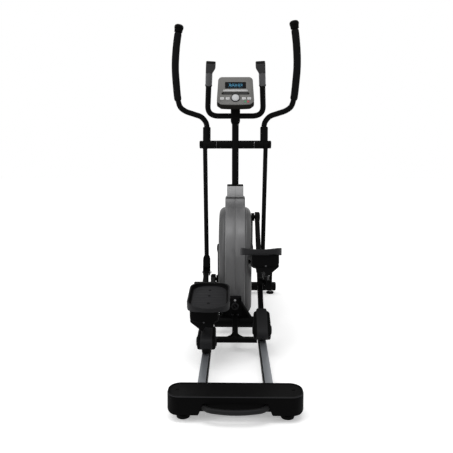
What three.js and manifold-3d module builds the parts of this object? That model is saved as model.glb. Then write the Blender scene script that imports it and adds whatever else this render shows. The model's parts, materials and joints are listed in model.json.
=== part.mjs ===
// Front-drive elliptical trainer. Millimetres, +Z up, +Y towards the casing end, +X to the user's right.
// The origin is on the floor, below the middle of the overall length.
import * as THREE from "three";
import { mergeVertices } from "three/addons/utils/BufferGeometryUtils.js";
import Module from "manifold-3d";

const wasm = await Module();
wasm.setup();

// ---- clearances -------------------------------------------------------------
const FIT = 0.3; // between pieces that touch
const RUN = 0.5; // between pieces that turn or slide on each other

// ---- base -------------------------------------------------------------------
const FLOOR_TO_STABILISER = 20;
const FRONT_STABILISER = { length: 552, radius: 30, y: 823, plug: 10 };
const REAR_STABILISER = { length: 480, depth: 60, height: 56, y: -820, z: 64, wall: 3 };
const FOOT = { radius: 26, height: 14, stud: 5, frontInset: 30, rearInset: 43, sink: 8 };
const REAR_COVER = { overhang: 15.5, rearY: -872, frontY: -752, low: 32, high: 104, wall: 3, corner: 34 };
const COVER_BOSS = { radius: 7, inset: 11, y: -802 };
const ARCH = { halfWidth: 138, high: 74 };
const LIFT_HANDLE = { radius: 10, halfWidth: 120, y: -895, z: 56, endZ: 61 };
const WHEEL = { radius: 26, width: 22, inset: 86, y: 879, clearance: 6, axle: 6 };
const FORK_PLATE = 5;

// ---- rails ------------------------------------------------------------------
const LINKAGE_X = 130; // the plane of rail, roller and connecting arm
const RAIL = { width: 42, height: 38, top: 80, frontY: -90, wall: 3 };
const CROSSBAR = { y: -215, width: 30, height: 22, drop: 3 }; // drop: below the rails' top
const T_POST = { width: 30, flangeY: 30, flangeWidth: 40, flangeLow: 96, flangeHigh: 203, plate: 6 };
const GUSSET = 30;
const KNOB = { radius: 19, length: 21, z: 163, stud: 5 };
const FLANGE_BOLT = { z: 192, radius: 7, head: 5 };

// ---- main frame -------------------------------------------------------------
const BEAM = { width: 50, height: 60, rearY: 80, frontY: 845, wall: 4 };
const BRACKET = { width: 68, low: 97, high: 204, depth: 40 };
const CROSS_TUBE = { halfLength: 105, radius: 30, y: 50, z: 64 };
const LEG = { radius: 11, footX: 90, headX: 28, headZ: 176 };
const MAST = { width: 40, depth: 70, y: 450, above: 136, wall: 3, corner: 14 }; // above: over the swing pivot

// ---- drive ------------------------------------------------------------------
const CRANK = { y: 375, z: 410, throw: 190, axle: 10, shell: 28, shellHalfLength: 26 };
const CRANK_ARM = { inner: 95.5, thickness: 9, boss: 18, hubRadius: 26, pinRadius: 24 };
const PULLEY = { radius: 150, inner: 28, width: 20, groove: 10, web: 6 };
const FLYWHEEL = { y: 650, z: 330, radius: 130, inner: -60, width: 30, rim: 26, web: 10, axle: 8, pulley: 22 };
const BELT = 3;
const BRAKE = { pivotY: 560, pivotZ: 480, gap: 3, plate: 5, reach: 24 };

// ---- casing -----------------------------------------------------------------
const CASING = { halfWidth: 93, low: 95, wall: 3, crankRadius: 238, flywheelRadius: 146 };
const RIDGE = { halfWidth: 59.5, proud: 12 };
const NECK = { rearY: 395, frontY: 505, top: 715 };
const COLLAR = { halfWidth: 49.5, rearY: 403, frontY: 497, top: 787, wall: 3 };
const REAR_NOTCH = { halfWidth: 40, top: 214, frontY: 205 };

// ---- stride linkage ---------------------------------------------------------
const ROLLER = { radius: 38, width: 40, axle: 8 };
const ARM = { length: 793, width: 26, height: 46, hub: 30, forkStart: 60, endGap: 28, cheek: 5 };
const ARM_PIVOT = { fromPin: 503, above: 28, pin: 10, lug: 22 }; // fromPin: from the crank pin, along the arm
const PEDAL_ARM = {
  x: 168, width: 30, height: 45, wall: 3, rear: -110,
  eyeY: 442, eyeZ: 41, eyeRadius: 20, eyeWidth: 26,
};
const PEDAL = { x: 122, width: 194, length: 300, y: -170, tread: 154, rim: 20, base: 22, wall: 13, corner: 62 };
const CARRIER = { inner: 88, outer: 204, low: 74, rear: -300, front: -22, wall: 4 };
const SWING = {
  y: 450, forkZ: 266, length: 760, pivotX: 181,
  spindle: 10, hub: 24, hubInner: 112, hubOuter: 194,
};
const SWING_TUBE = { width: 25, depth: 50, wall: 2.5 };
const FORK = { cheek: 6, radius: 21, crotch: 30, block: 58 };
const SOCKET = { x: 171, radius: 23, top: 104, bore: 34 };
const END_CAP = 20;

// ---- hand grips -------------------------------------------------------------
const HANDLE = { radius: 16, wall: 2.5, perSpan: 2 };
const FOAM = { radius: 22, from: 8, to: 12 };
const CAP = { radius: 27, sleeve: 20, crown: 26 };
const U_BAR = { halfWidth: 164, y: 430, rise: 30, bend: 68, topX: 143.5, topY: 240, height: 246 };
const PULSE_GRIP = { radius: 18.5, length: 115, start: 46 };
const POD = { width: 53, depth: 38, length: 58 };

// ---- console ----------------------------------------------------------------
const HEAD = { width: 55, rearY: 404, frontY: 494, sleeve: 15, rise: 75 };
const CONSOLE = { width: 213, topWidth: 199, height: 210, thickness: 42, y: 372, rise: 173, lean: 31, top: 92 };
const DISPLAY = { width: 116, height: 42, v: 32, depth: 2 };
const DIAL = { radius: 25, height: 14, v: -56, shaft: 6 };
const BUTTON = { width: 22, height: 16, v: -60, proud: 3, travel: 1.5, body: 7, columns: [-76, -44, 48, 78] };
const ROCKER = { width: 27, height: 10, x: 64, v: -81, proud: 2.5, body: 6 };

// ---- places that follow from them --------------------------------------------
const pivotAlong = ARM.length - ARM_PIVOT.fromPin;
const frontFootX = FRONT_STABILISER.length / 2 - FOOT.frontInset;
const rearFootX = REAR_STABILISER.length / 2 - FOOT.rearInset;
const wheelX = FRONT_STABILISER.length / 2 - WHEEL.inset;
const coverLength = REAR_STABILISER.length + 2 * REAR_COVER.overhang;
const swingZ = SWING.forkZ + SWING.length;
const mastTop = swingZ + MAST.above;
const handlebarZ = mastTop + U_BAR.rise;
const crossbarHigh = RAIL.top - CROSSBAR.drop;
const crossbarLow = crossbarHigh - CROSSBAR.height;

// ---- finishes ---------------------------------------------------------------
const paint = (color, roughness, metalness) =>
  new THREE.MeshStandardMaterial({ color, roughness, metalness });
const satinBlack = () => paint(0x151516, 0.45, 0.4);
const blackPlastic = () => paint(0x1c1c1d, 0.6, 0);
const charcoal = () => paint(0x2b2c2e, 0.6, 0);
const silverGrey = () => paint(0x6f7072, 0.42, 0.5);
const aluminium = () => paint(0x9aa3b0, 0.35, 0.9);
const steel = () => paint(0xa8a8a8, 0.3, 1);
const rubber = () => paint(0x101010, 0.85, 0);
const consoleGrey = () => paint(0x8b8781, 0.5, 0.2);

// ---- solids -----------------------------------------------------------------
function solid(geometry) {
  const bare = geometry.index ? geometry.toNonIndexed() : geometry.clone();
  for (const name of Object.keys(bare.attributes)) if (name !== "position") bare.deleteAttribute(name);
  const merged = mergeVertices(bare, 1e-4);
  return new wasm.Manifold(
    new wasm.Mesh({
      numProp: 3,
      vertProperties: new Float32Array(merged.attributes.position.array),
      triVerts: new Uint32Array(merged.index.array),
    }),
  );
}

function geometryOf(shape) {
  const mesh = shape.getMesh();
  const stride = mesh.numProp;
  const points = new Float32Array(mesh.numVert * 3);
  for (let i = 0; i < mesh.numVert; i++)
    points.set(mesh.vertProperties.subarray(i * stride, i * stride + 3), i * 3);
  const geometry = new THREE.BufferGeometry();
  geometry.setAttribute("position", new THREE.BufferAttribute(points, 3));
  geometry.setIndex(new THREE.BufferAttribute(new Uint32Array(mesh.triVerts), 1));
  geometry.computeVertexNormals();
  return geometry;
}

const join = (...shapes) => shapes.reduce((a, b) => a.add(b));
const cut = (shape, ...tools) => tools.reduce((a, b) => a.subtract(b), shape);

function box(x0, x1, y0, y1, z0, z1) {
  const geometry = new THREE.BoxGeometry(x1 - x0, y1 - y0, z1 - z0);
  return solid(geometry.translate((x0 + x1) / 2, (y0 + y1) / 2, (z0 + z1) / 2));
}

// A round bar from one point to another.
function bar(from, to, radius, sides = 24) {
  const a = new THREE.Vector3(...from);
  const b = new THREE.Vector3(...to);
  const along = b.clone().sub(a);
  const geometry = new THREE.CylinderGeometry(radius, radius, along.length(), sides);
  const turn = new THREE.Quaternion().setFromUnitVectors(
    new THREE.Vector3(0, 1, 0),
    along.clone().normalize(),
  );
  geometry.applyQuaternion(turn).translate(...a.add(b).multiplyScalar(0.5).toArray());
  return solid(geometry);
}

const barX = (radius, x0, x1, y, z, sides = 24) => bar([x0, y, z], [x1, y, z], radius, sides);
const barY = (radius, y0, y1, x, z, sides = 24) => bar([x, y0, z], [x, y1, z], radius, sides);
const barZ = (radius, z0, z1, x, y, sides = 24) => bar([x, y, z0], [x, y, z1], radius, sides);

// An outline of [y, z] points, extruded along X from x0 to x1.
function slabX(points, x0, x1) {
  const shape = new THREE.Shape(points.map(([y, z]) => new THREE.Vector2(y, z)));
  const geometry = new THREE.ExtrudeGeometry(shape, { depth: x1 - x0, bevelEnabled: false });
  const turn = new THREE.Matrix4().makeBasis(
    new THREE.Vector3(0, 1, 0),
    new THREE.Vector3(0, 0, 1),
    new THREE.Vector3(1, 0, 0),
  );
  return solid(geometry.applyMatrix4(turn).translate(x0, 0, 0));
}

// An outline in plan, extruded along Z from z0 to z1.
function slabZ(shape, z0, z1, curveSegments = 6) {
  const settings = { depth: z1 - z0, bevelEnabled: false, curveSegments };
  return solid(new THREE.ExtrudeGeometry(shape, settings).translate(0, 0, z0));
}

function roundedRect(width, depth, radius, x = 0, y = 0) {
  const [x0, x1, y0, y1] = [x - width / 2, x + width / 2, y - depth / 2, y + depth / 2];
  const shape = new THREE.Shape();
  shape.moveTo(x0 + radius, y0);
  shape.lineTo(x1 - radius, y0);
  shape.absarc(x1 - radius, y0 + radius, radius, -Math.PI / 2, 0);
  shape.lineTo(x1, y1 - radius);
  shape.absarc(x1 - radius, y1 - radius, radius, 0, Math.PI / 2);
  shape.lineTo(x0 + radius, y1);
  shape.absarc(x0 + radius, y1 - radius, radius, Math.PI / 2, Math.PI);
  shape.lineTo(x0, y0 + radius);
  shape.absarc(x0 + radius, y0 + radius, radius, Math.PI, 1.5 * Math.PI);
  return shape;
}

// A round tube or rod through the points; a wall of 0 makes it a rod.
function sweep(points, radius, wall, sides = 12, boreSides = 8) {
  const circle = (r, count) => {
    const ring = [];
    for (let i = 0; i < count; i++) {
      const angle = (2 * Math.PI * i) / count;
      ring.push(new THREE.Vector2(r * Math.cos(angle), r * Math.sin(angle)));
    }
    return ring;
  };
  const shape = new THREE.Shape(circle(radius, sides));
  if (wall > 0) shape.holes.push(new THREE.Path(circle(radius - wall, boreSides)));
  const extrudePath = new THREE.CatmullRomCurve3(points, false, "centripetal");
  extrudePath.getUtoTmapping = (u) => u; // one step from each point to the next
  const steps = points.length - 1;
  return solid(new THREE.ExtrudeGeometry(shape, { steps, bevelEnabled: false, extrudePath }));
}

const vectors = (points) => points.map((p) => new THREE.Vector3(...p));

// Points along straight runs joined by rounded corners.
function bentPoints(corners, bend, count) {
  const [first, ...rest] = vectors(corners);
  const last = rest.pop();
  const points = [first];
  rest.forEach((corner, i) => {
    const toPrevious = (i ? rest[i - 1] : first).clone().sub(corner).normalize();
    const toNext = (rest[i + 1] ?? last).clone().sub(corner).normalize();
    const entry = corner.clone().addScaledVector(toPrevious, bend);
    const exit = corner.clone().addScaledVector(toNext, bend);
    points.push(...new THREE.QuadraticBezierCurve3(entry, corner, exit).getPoints(count));
  });
  return [...points, last];
}

// Points along a smooth curve through the given ones.
function smoothPoints(through, perSpan) {
  const curve = new THREE.CatmullRomCurve3(vectors(through), false, "centripetal");
  return curve.getPoints(perSpan * (through.length - 1));
}

const arc = (y, z, radius, from, to, count) =>
  Array.from({ length: count + 1 }, (_, i) => {
    const angle = from + ((to - from) * i) / count;
    return [y + radius * Math.cos(angle), z + radius * Math.sin(angle)];
  });

// The four corners of a bar of the given height between two [y, z] points.
function barBetween(a, b, heightA, heightB = heightA) {
  const length = Math.hypot(b[0] - a[0], b[1] - a[1]);
  const [ny, nz] = [-(b[1] - a[1]) / length, (b[0] - a[0]) / length];
  return [
    [a[0] - (ny * heightA) / 2, a[1] - (nz * heightA) / 2],
    [b[0] - (ny * heightB) / 2, b[1] - (nz * heightB) / 2],
    [b[0] + (ny * heightB) / 2, b[1] + (nz * heightB) / 2],
    [a[0] + (ny * heightA) / 2, a[1] + (nz * heightA) / 2],
  ];
}

const trainer = new THREE.Group();

function part(name, shape, material, parent = trainer) {
  const mesh = new THREE.Mesh(geometryOf(shape), material);
  mesh.name = name;
  parent.add(mesh);
}

// ---- linkage geometry -------------------------------------------------------
const rollerZ = RAIL.top + FIT + ROLLER.radius;

function turned(angle, y, z) {
  return [y * Math.cos(angle) - z * Math.sin(angle), y * Math.sin(angle) + z * Math.cos(angle)];
}

// Where each link of one side stands when its crank arm is turned from straight up.
function linkageAt(crankAngle) {
  const pinY = CRANK.y + CRANK.throw * Math.sin(crankAngle);
  const pinZ = CRANK.z + CRANK.throw * Math.cos(crankAngle);
  const tilt = Math.asin((pinZ - rollerZ) / ARM.length);
  const rollerY = pinY - ARM.length * Math.cos(tilt);
  const [alongY, alongZ] = turned(tilt, pivotAlong, ARM_PIVOT.above);
  const pivotY = rollerY + alongY;
  const pivotZ = rollerZ + alongZ;
  const reach = Math.hypot(PEDAL_ARM.eyeY, PEDAL_ARM.eyeZ);
  const [dy, dz] = [SWING.y - pivotY, swingZ - pivotZ];
  const span = Math.hypot(dy, dz);
  const along = (reach ** 2 - SWING.length ** 2 + span ** 2) / (2 * span);
  const across = Math.sqrt(reach ** 2 - along ** 2);
  const eyeY = pivotY + (along * dy + across * dz) / span;
  const eyeZ = pivotZ + (along * dz - across * dy) / span;
  const pedalAngle =
    Math.atan2(eyeZ - pivotZ, eyeY - pivotY) - Math.atan2(PEDAL_ARM.eyeZ, PEDAL_ARM.eyeY);
  const swingAngle = Math.atan2(eyeY - SWING.y, swingZ - eyeZ);
  return { tilt, rollerY, pivotY, pivotZ, pedalAngle, swingAngle };
}

// ---- base -------------------------------------------------------------------
const stabiliserZ = FLOOR_TO_STABILISER + FRONT_STABILISER.radius;

function frontStabiliser() {
  const { length, radius, y, plug } = FRONT_STABILISER;
  const half = length / 2 + plug;
  let shape = cut(
    join(barX(radius, -half, half, y, stabiliserZ)),
    barX(radius - 3, -half + plug, half - plug, y, stabiliserZ),
  );
  const wheelZ = WHEEL.radius + WHEEL.clearance;
  for (const side of [-1, 1]) {
    for (const face of [-1, 1]) {
      const near = side * wheelX + face * (WHEEL.width / 2 + RUN);
      const far = near + face * FORK_PLATE;
      const plate = barBetween([y + 24, stabiliserZ], [WHEEL.y, wheelZ], 40, 22);
      shape = join(shape, slabX(plate, Math.min(near, far), Math.max(near, far)));
    }
    const reach = WHEEL.width / 2 + RUN + FORK_PLATE;
    shape = join(
      shape,
      barX(WHEEL.axle, side * wheelX - reach, side * wheelX + reach, WHEEL.y, wheelZ, 16),
    );
    const foot = side * frontFootX;
    shape = cut(shape, barZ(FOOT.stud + RUN, 0, stabiliserZ, foot, y, 12));
  }
  return cut(shape, barZ(FOOT.stud + RUN, radius, stabiliserZ * 0.8, 0, y, 8));
}

function rearStabiliser() {
  const { length, depth, height, y, z, wall } = REAR_STABILISER;
  const outer = box(-length / 2, length / 2, y - depth / 2, y + depth / 2, z - height / 2, z + height / 2);
  const inner = box(
    -length,
    length,
    y - depth / 2 + wall,
    y + depth / 2 - wall,
    z - height / 2 + wall,
    z + height / 2 - wall,
  );
  const holes = [-1, 1].map((side) => barZ(FOOT.stud + RUN, 0, z, side * rearFootX, y, 12));
  return cut(outer, inner, ...holes);
}

function foot(x, y, top) {
  const shape = join(
    barZ(FOOT.radius, 0, FOOT.height * 0.55, x, y),
    barZ(FOOT.radius * 0.7, 0, FOOT.height, x, y),
    barZ(FOOT.stud, 0, top + FOOT.sink, x, y, 12),
  );
  return shape;
}

function transportWheel(side) {
  const [x, z] = [side * wheelX, WHEEL.radius + WHEEL.clearance];
  const half = WHEEL.width / 2;
  return cut(
    barX(WHEEL.radius, x - half, x + half, WHEEL.y, z, 32),
    barX(WHEEL.axle + RUN, x - half - 1, x + half + 1, WHEEL.y, z, 16),
  );
}

function rearCover() {
  const { rearY, frontY, low, high, wall, corner } = REAR_COVER;
  const middle = (rearY + frontY) / 2;
  const depth = frontY - rearY;
  const outer = slabZ(roundedRect(coverLength, depth, corner, 0, middle), low, high);
  const hollow = roundedRect(coverLength - 2 * wall, depth - 2 * wall, corner - wall, 0, middle);
  const inner = slabZ(hollow, low - 1, high - wall);
  const bossLow = REAR_STABILISER.z + REAR_STABILISER.height / 2 + FIT;
  const bossX = REAR_STABILISER.length / 2 - COVER_BOSS.inset;
  const bosses = [-1, 1].map((side) =>
    barZ(COVER_BOSS.radius, bossLow, high - wall / 2, side * bossX, COVER_BOSS.y, 16),
  );
  const arch = box(-ARCH.halfWidth, ARCH.halfWidth, rearY - 1, rearY + corner, low - 1, ARCH.high);
  const notches = [-1, 1].map((side) => {
    const reach = RAIL.width / 2 + 1;
    const x = side * LINKAGE_X;
    return box(x - reach, x + reach, frontY - corner, frontY + 1, low - 1, RAIL.top + 1);
  });
  return join(cut(outer, inner, arch, ...notches), ...bosses);
}

function liftHandle() {
  const face = REAR_STABILISER.y - REAR_STABILISER.depth / 2 - FIT;
  const { radius, halfWidth, y, z, endZ } = LIFT_HANDLE;
  const half = [
    [halfWidth, face + 12, endZ],
    [halfWidth, face - 6, endZ],
    [halfWidth * 0.86, y + 14, endZ - 1],
    [halfWidth * 0.5, y + 3, z + 2],
  ];
  const mirrored = half.map(([x, ...rest]) => [-x, ...rest]);
  const bow = sweep(smoothPoints([...mirrored, [0, y, z], ...half.reverse()], 2), radius, 0);
  return cut(bow, box(-2 * halfWidth, 2 * halfWidth, face, 0, 0, 2 * endZ));
}

// ---- rails ------------------------------------------------------------------
function rail(side) {
  const { width, height, top, frontY, wall } = RAIL;
  const rearY = REAR_STABILISER.y + REAR_STABILISER.depth / 2 + FIT;
  const x = side * LINKAGE_X;
  const tube = box(x - width / 2, x + width / 2, rearY, frontY, top - height, top);
  const bore = box(
    x - width / 2 + wall,
    x + width / 2 - wall,
    rearY - 1,
    frontY + 1,
    top - height + wall,
    top - wall,
  );
  return cut(tube, bore);
}

function railYoke() {
  const half = LINKAGE_X - RAIL.width / 2 - FIT;
  const { y, width } = CROSSBAR;
  const [low, high] = [crossbarLow, crossbarHigh];
  const front = y + width / 2;
  const bolt = { y: T_POST.flangeY, z: FLANGE_BOLT.z };
  let shape = box(-half, half, y - width / 2, front, low, high);
  const post = [
    [y, low],
    [T_POST.flangeY, T_POST.flangeLow],
    [T_POST.flangeY, T_POST.flangeLow + 22],
    [y, high],
  ];
  shape = join(
    shape,
    slabX(post, -T_POST.width / 2, T_POST.width / 2),
    box(
      -T_POST.flangeWidth / 2,
      T_POST.flangeWidth / 2,
      T_POST.flangeY,
      T_POST.flangeY + T_POST.plate,
      T_POST.flangeLow,
      T_POST.flangeHigh,
    ),
    barY(FLANGE_BOLT.radius, bolt.y - FLANGE_BOLT.head, bolt.y + 2, 0, bolt.z, 6),
  );
  for (const side of [-1, 1]) {
    const edge = (side * T_POST.width) / 2;
    const gusset = new THREE.Shape([
      new THREE.Vector2(edge - side, front - 2),
      new THREE.Vector2(edge + side * GUSSET, front - 2),
      new THREE.Vector2(edge - side, front + GUSSET),
    ]);
    shape = join(shape, slabZ(gusset, low + 3, high - 5));
  }
  return cut(shape, barY(KNOB.stud + RUN, T_POST.flangeY - 20, T_POST.flangeY + 20, 0, KNOB.z, 12));
}

function lockKnob() {
  const face = T_POST.flangeY - RUN;
  const tip = T_POST.flangeY + T_POST.plate + FIT + BRACKET.depth / 2;
  const neck = 8;
  return join(
    barY(KNOB.radius, face - KNOB.length, face - neck, 0, KNOB.z, 20),
    barY(KNOB.radius * 0.55, face - KNOB.length, face, 0, KNOB.z, 16),
    barY(KNOB.stud, face - neck, tip, 0, KNOB.z, 12),
  );
}

// ---- main frame -------------------------------------------------------------
const beamLow = FLOOR_TO_STABILISER + 2 * FRONT_STABILISER.radius + FIT;
const beamTop = beamLow + BEAM.height;
const flywheelPlateX = { inner: 68, outer: 74 };

function mainFrame() {
  const rearFace = T_POST.flangeY + T_POST.plate + FIT;
  const half = BEAM.width / 2;
  const bracketFront = rearFace + BRACKET.depth;
  let shape = join(
    box(-half, half, BEAM.rearY, BEAM.frontY, beamLow, beamTop),
    box(-BRACKET.width / 2, BRACKET.width / 2, rearFace, bracketFront, BRACKET.low, BRACKET.high),
    box(-half, half, rearFace + 10, BEAM.rearY + 40, BRACKET.low, BRACKET.high - 20),
    barX(CROSS_TUBE.radius, -CROSS_TUBE.halfLength, CROSS_TUBE.halfLength, CROSS_TUBE.y, CROSS_TUBE.z),
    box(-half, half, CROSS_TUBE.y, BEAM.rearY + 30, CROSS_TUBE.z, BRACKET.low + 20),
  );
  for (const side of [-1, 1]) {
    const foot = [side * LEG.footX, CROSS_TUBE.y, CROSS_TUBE.z + 16];
    const head = [side * LEG.headX, rearFace + LEG.radius + 1, LEG.headZ];
    const [inner, outer] = [side * flywheelPlateX.inner, side * flywheelPlateX.outer];
    const plate = [
      [FLYWHEEL.y - 34, beamTop - 4],
      [FLYWHEEL.y + 34, beamTop - 4],
      [FLYWHEEL.y + 18, FLYWHEEL.z + 16],
      [FLYWHEEL.y - 18, FLYWHEEL.z + 16],
    ];
    shape = join(
      shape,
      bar(foot, head, LEG.radius, 16),
      slabX(plate, Math.min(inner, outer), Math.max(inner, outer)),
    );
  }
  const reach = flywheelPlateX.outer;
  shape = join(
    shape,
    box(-reach, reach, FLYWHEEL.y - 34, FLYWHEEL.y + 34, beamTop - 4, beamTop + 3),
    barX(FLYWHEEL.axle, -reach, reach, FLYWHEEL.y, FLYWHEEL.z, 20),
  );
  const knobBore = barY(KNOB.stud + RUN, rearFace - 5, bracketFront + 1, 0, KNOB.z, 12);
  const { wall } = BEAM;
  const beamBore = box(
    wall - half,
    half - wall,
    BEAM.rearY + 60,
    BEAM.frontY + 1,
    beamLow + wall,
    beamTop - wall,
  );
  return cut(shape, knobBore, beamBore);
}

function mast() {
  const { width, depth, y, wall, corner } = MAST;
  const section = roundedRect(width, depth, corner, 0, y);
  const low = beamTop + FIT;
  section.holes.push(roundedRect(width - 2 * wall, depth - 2 * wall, corner - wall, 0, y));
  const tube = slabZ(section, low, mastTop, 4);
  const rearFace = y - depth / 2;
  const half = CRANK.shellHalfLength;
  const web = box(-14, 14, CRANK.y, rearFace + wall / 2, CRANK.z - 34, CRANK.z + 34);
  const bore = barX(CRANK.axle + RUN, -half - 1, half + 1, CRANK.y, CRANK.z, 20);
  const shell = cut(join(web, barX(CRANK.shell, -half, half, CRANK.y, CRANK.z)), bore);
  return cut(join(tube, shell), barX(SWING.hub + FIT, -width, width, SWING.y, swingZ, 32));
}

// ---- drive ------------------------------------------------------------------
const crankOuter = CRANK_ARM.inner + CRANK_ARM.thickness + 5;

function crankArm() {
  const { inner, thickness, boss, hubRadius, pinRadius } = CRANK_ARM;
  const outer = inner + thickness;
  const blade = barBetween([0, 0], [0, CRANK.throw], 1.6 * hubRadius, 1.6 * pinRadius);
  const shape = join(
    slabX(blade, inner, outer),
    barX(hubRadius, inner, crankOuter, 0, 0),
    barX(pinRadius, inner, inner + boss, 0, CRANK.throw),
  );
  return cut(shape, barX(CRANK.axle + FIT, inner - 1, crankOuter + 1, 0, 0, 20));
}

function drivePulley() {
  const { radius, inner, width, groove, web } = PULLEY;
  const middle = inner + width / 2;
  const rim = cut(
    barX(radius, middle - groove, middle + groove, CRANK.y, CRANK.z, 48),
    barX(radius - 14, middle + web / 2, inner + width + 1, CRANK.y, CRANK.z, 48),
    barX(radius - 14, inner - 1, middle - web / 2, CRANK.y, CRANK.z, 48),
  );
  const hub = barX(CRANK.axle * 2.6, inner, inner + width + 12, CRANK.y, CRANK.z);
  const bore = barX(CRANK.axle + FIT, inner - 1, inner + width + 20, CRANK.y, CRANK.z, 20);
  return cut(join(rim, hub), bore);
}

// Two circles and the tangent over them: outline points, counter-clockwise from the lower front.
function beltLine(crankRadius, flywheelRadius) {
  const [dy, dz] = [FLYWHEEL.y - CRANK.y, FLYWHEEL.z - CRANK.z];
  const lean = Math.atan2(dz, dy);
  const spread = Math.acos((crankRadius - flywheelRadius) / Math.hypot(dy, dz));
  return { upper: lean + spread, lower: lean - spread };
}

function beltOutline(offset) {
  const [big, small] = [PULLEY.radius + offset, FLYWHEEL.pulley + offset];
  const { upper, lower } = beltLine(big, small);
  return [
    ...arc(FLYWHEEL.y, FLYWHEEL.z, small, lower, upper, 8),
    ...arc(CRANK.y, CRANK.z, big, upper, lower + 2 * Math.PI, 32),
  ];
}

function driveBelt() {
  const middle = PULLEY.inner + PULLEY.width / 2;
  const half = PULLEY.groove * 0.6;
  return cut(
    slabX(beltOutline(FIT + BELT), middle - half, middle + half),
    slabX(beltOutline(FIT * 2), middle - half - 1, middle + half + 1),
  );
}

function flywheel() {
  const { y, z, radius, inner, width, rim, web, axle, pulley } = FLYWHEEL;
  const outer = inner + width;
  const middle = (inner + outer) / 2;
  const disc = cut(
    barX(radius, inner, outer, y, z, 48),
    barX(radius - rim, inner - 1, middle - web / 2, y, z, 40),
    barX(radius - rim, middle + web / 2, outer + 1, y, z, 40),
  );
  const beltMiddle = PULLEY.inner + PULLEY.width / 2;
  const shape = join(
    disc,
    barX(axle * 2, inner, beltMiddle, y, z, 24),
    barX(pulley, beltMiddle - PULLEY.groove, beltMiddle + PULLEY.groove, y, z, 24),
  );
  return cut(shape, barX(axle + RUN, inner - 1, beltMiddle + PULLEY.groove + 1, y, z, 20));
}

// A channel over the flywheel's rim, hung from a pin fixed in the frame's plate.
function brakeYoke() {
  const { pivotY, pivotZ, gap, plate, reach } = BRAKE;
  const low = FLYWHEEL.inner - gap - plate;
  const high = FLYWHEEL.inner + FLYWHEEL.width + gap + plate;
  const rimAngle = Math.atan2(pivotZ - FLYWHEEL.z, pivotY - FLYWHEEL.y);
  const at = (radius, angle) => [
    FLYWHEEL.y + radius * Math.cos(rimAngle + angle),
    FLYWHEEL.z + radius * Math.sin(rimAngle + angle),
  ];
  const crown = FLYWHEEL.radius + gap + 2;
  const outline = (inner, outer, spare = 0) => {
    const angles = [-0.5 - spare, -0.25, spare];
    return [...angles.map((a) => at(inner, a)), ...angles.reverse().map((a) => at(outer, a))];
  };
  const block = slabX(outline(FLYWHEEL.radius - reach, crown + 12), low, high);
  const slot = slabX(outline(FLYWHEEL.radius - reach - 20, crown, 0.05), low + plate, high - plate);
  const ear = barX(12, low, high, pivotY, pivotZ, 16);
  const arm = slabX(barBetween(at(crown + 6, -0.12), [pivotY, pivotZ], 16), low, high);
  return cut(join(cut(block, slot), ear, arm), barX(5, low - 1, high + 1, pivotY, pivotZ, 12));
}

// ---- casing -----------------------------------------------------------------
function casingOutline(offset, low) {
  const big = CASING.crankRadius + offset;
  const small = CASING.flywheelRadius + offset;
  const { upper } = beltLine(big, small);
  return [
    [CRANK.y - big * 0.94, low],
    [FLYWHEEL.y + small, low],
    ...arc(FLYWHEEL.y, FLYWHEEL.z, small, 0, upper, 10),
    ...arc(CRANK.y, CRANK.z, big, upper, Math.PI, 20),
  ];
}

function neckOutline(inset, top) {
  const base = CRANK.z + CASING.crankRadius - 40;
  return [
    [NECK.rearY - 60 + inset, base],
    [NECK.frontY + 90 - inset, base - 40],
    [NECK.frontY - inset, NECK.top - 50],
    [NECK.frontY - inset, top],
    [NECK.rearY + inset, top],
    [NECK.rearY + inset, NECK.top - 24],
  ];
}

function casingHalf() {
  const { halfWidth, low, wall } = CASING;
  const seam = FIT / 2;
  const body = join(
    slabX(casingOutline(0, low), seam, halfWidth),
    slabX(casingOutline(RIDGE.proud, low), seam, RIDGE.halfWidth),
    slabX(neckOutline(0, NECK.top), seam, RIDGE.halfWidth),
  );
  const below = low - 10;
  const hollow = join(
    slabX(casingOutline(-wall, below), -1, halfWidth - wall),
    slabX(casingOutline(RIDGE.proud - wall, below), -1, RIDGE.halfWidth - wall),
    slabX(neckOutline(wall, NECK.top - wall), -1, RIDGE.halfWidth - wall),
  );
  const mastReach = MAST.depth / 2 + 1;
  const mastHole = box(-1, MAST.width / 2 + 1, MAST.y - mastReach, MAST.y + mastReach, CRANK.z, NECK.top + 1);
  const notch = box(
    -1,
    REAR_NOTCH.halfWidth,
    CRANK.y - 2 * CASING.crankRadius,
    REAR_NOTCH.frontY,
    below,
    REAR_NOTCH.top,
  );
  const beamSlot = box(-1, BEAM.width / 2 + 1, FLYWHEEL.y, BEAM.frontY, below, beamTop + 1);
  const axleHole = barX(CRANK_ARM.hubRadius + 4, 1, halfWidth + 1, CRANK.y, CRANK.z);
  return cut(body, hollow, notch, beamSlot, axleHole, mastHole);
}

function mastCollar() {
  const { halfWidth, rearY, frontY, top, wall } = COLLAR;
  const low = NECK.top + FIT;
  const reach = MAST.width / 2 + 1;
  return cut(
    box(-halfWidth, halfWidth, rearY, frontY, low, top),
    box(-halfWidth + wall, halfWidth - wall, rearY + wall, frontY - wall, low - 1, top - wall),
    box(-reach, reach, MAST.y - MAST.depth / 2 - 1, MAST.y + MAST.depth / 2 + 1, low, top + 1),
  );
}

// ---- stride linkage, each built for the right side in its own frame ---------------
const wheelInner = LINKAGE_X - ROLLER.width / 2;
const wheelOuter = LINKAGE_X + ROLLER.width / 2;
const cheekGap = 2;

function rollerAxle() {
  const reach = ROLLER.width / 2 + cheekGap + ARM.cheek + 3;
  return barX(ROLLER.axle, LINKAGE_X - reach, LINKAGE_X + reach, 0, 0, 20);
}

function rollerWheel() {
  return cut(
    barX(ROLLER.radius, wheelInner, wheelOuter, 0, 0, 40),
    barX(ROLLER.axle + RUN, wheelInner - 1, wheelOuter + 1, 0, 0, 20),
  );
}

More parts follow.
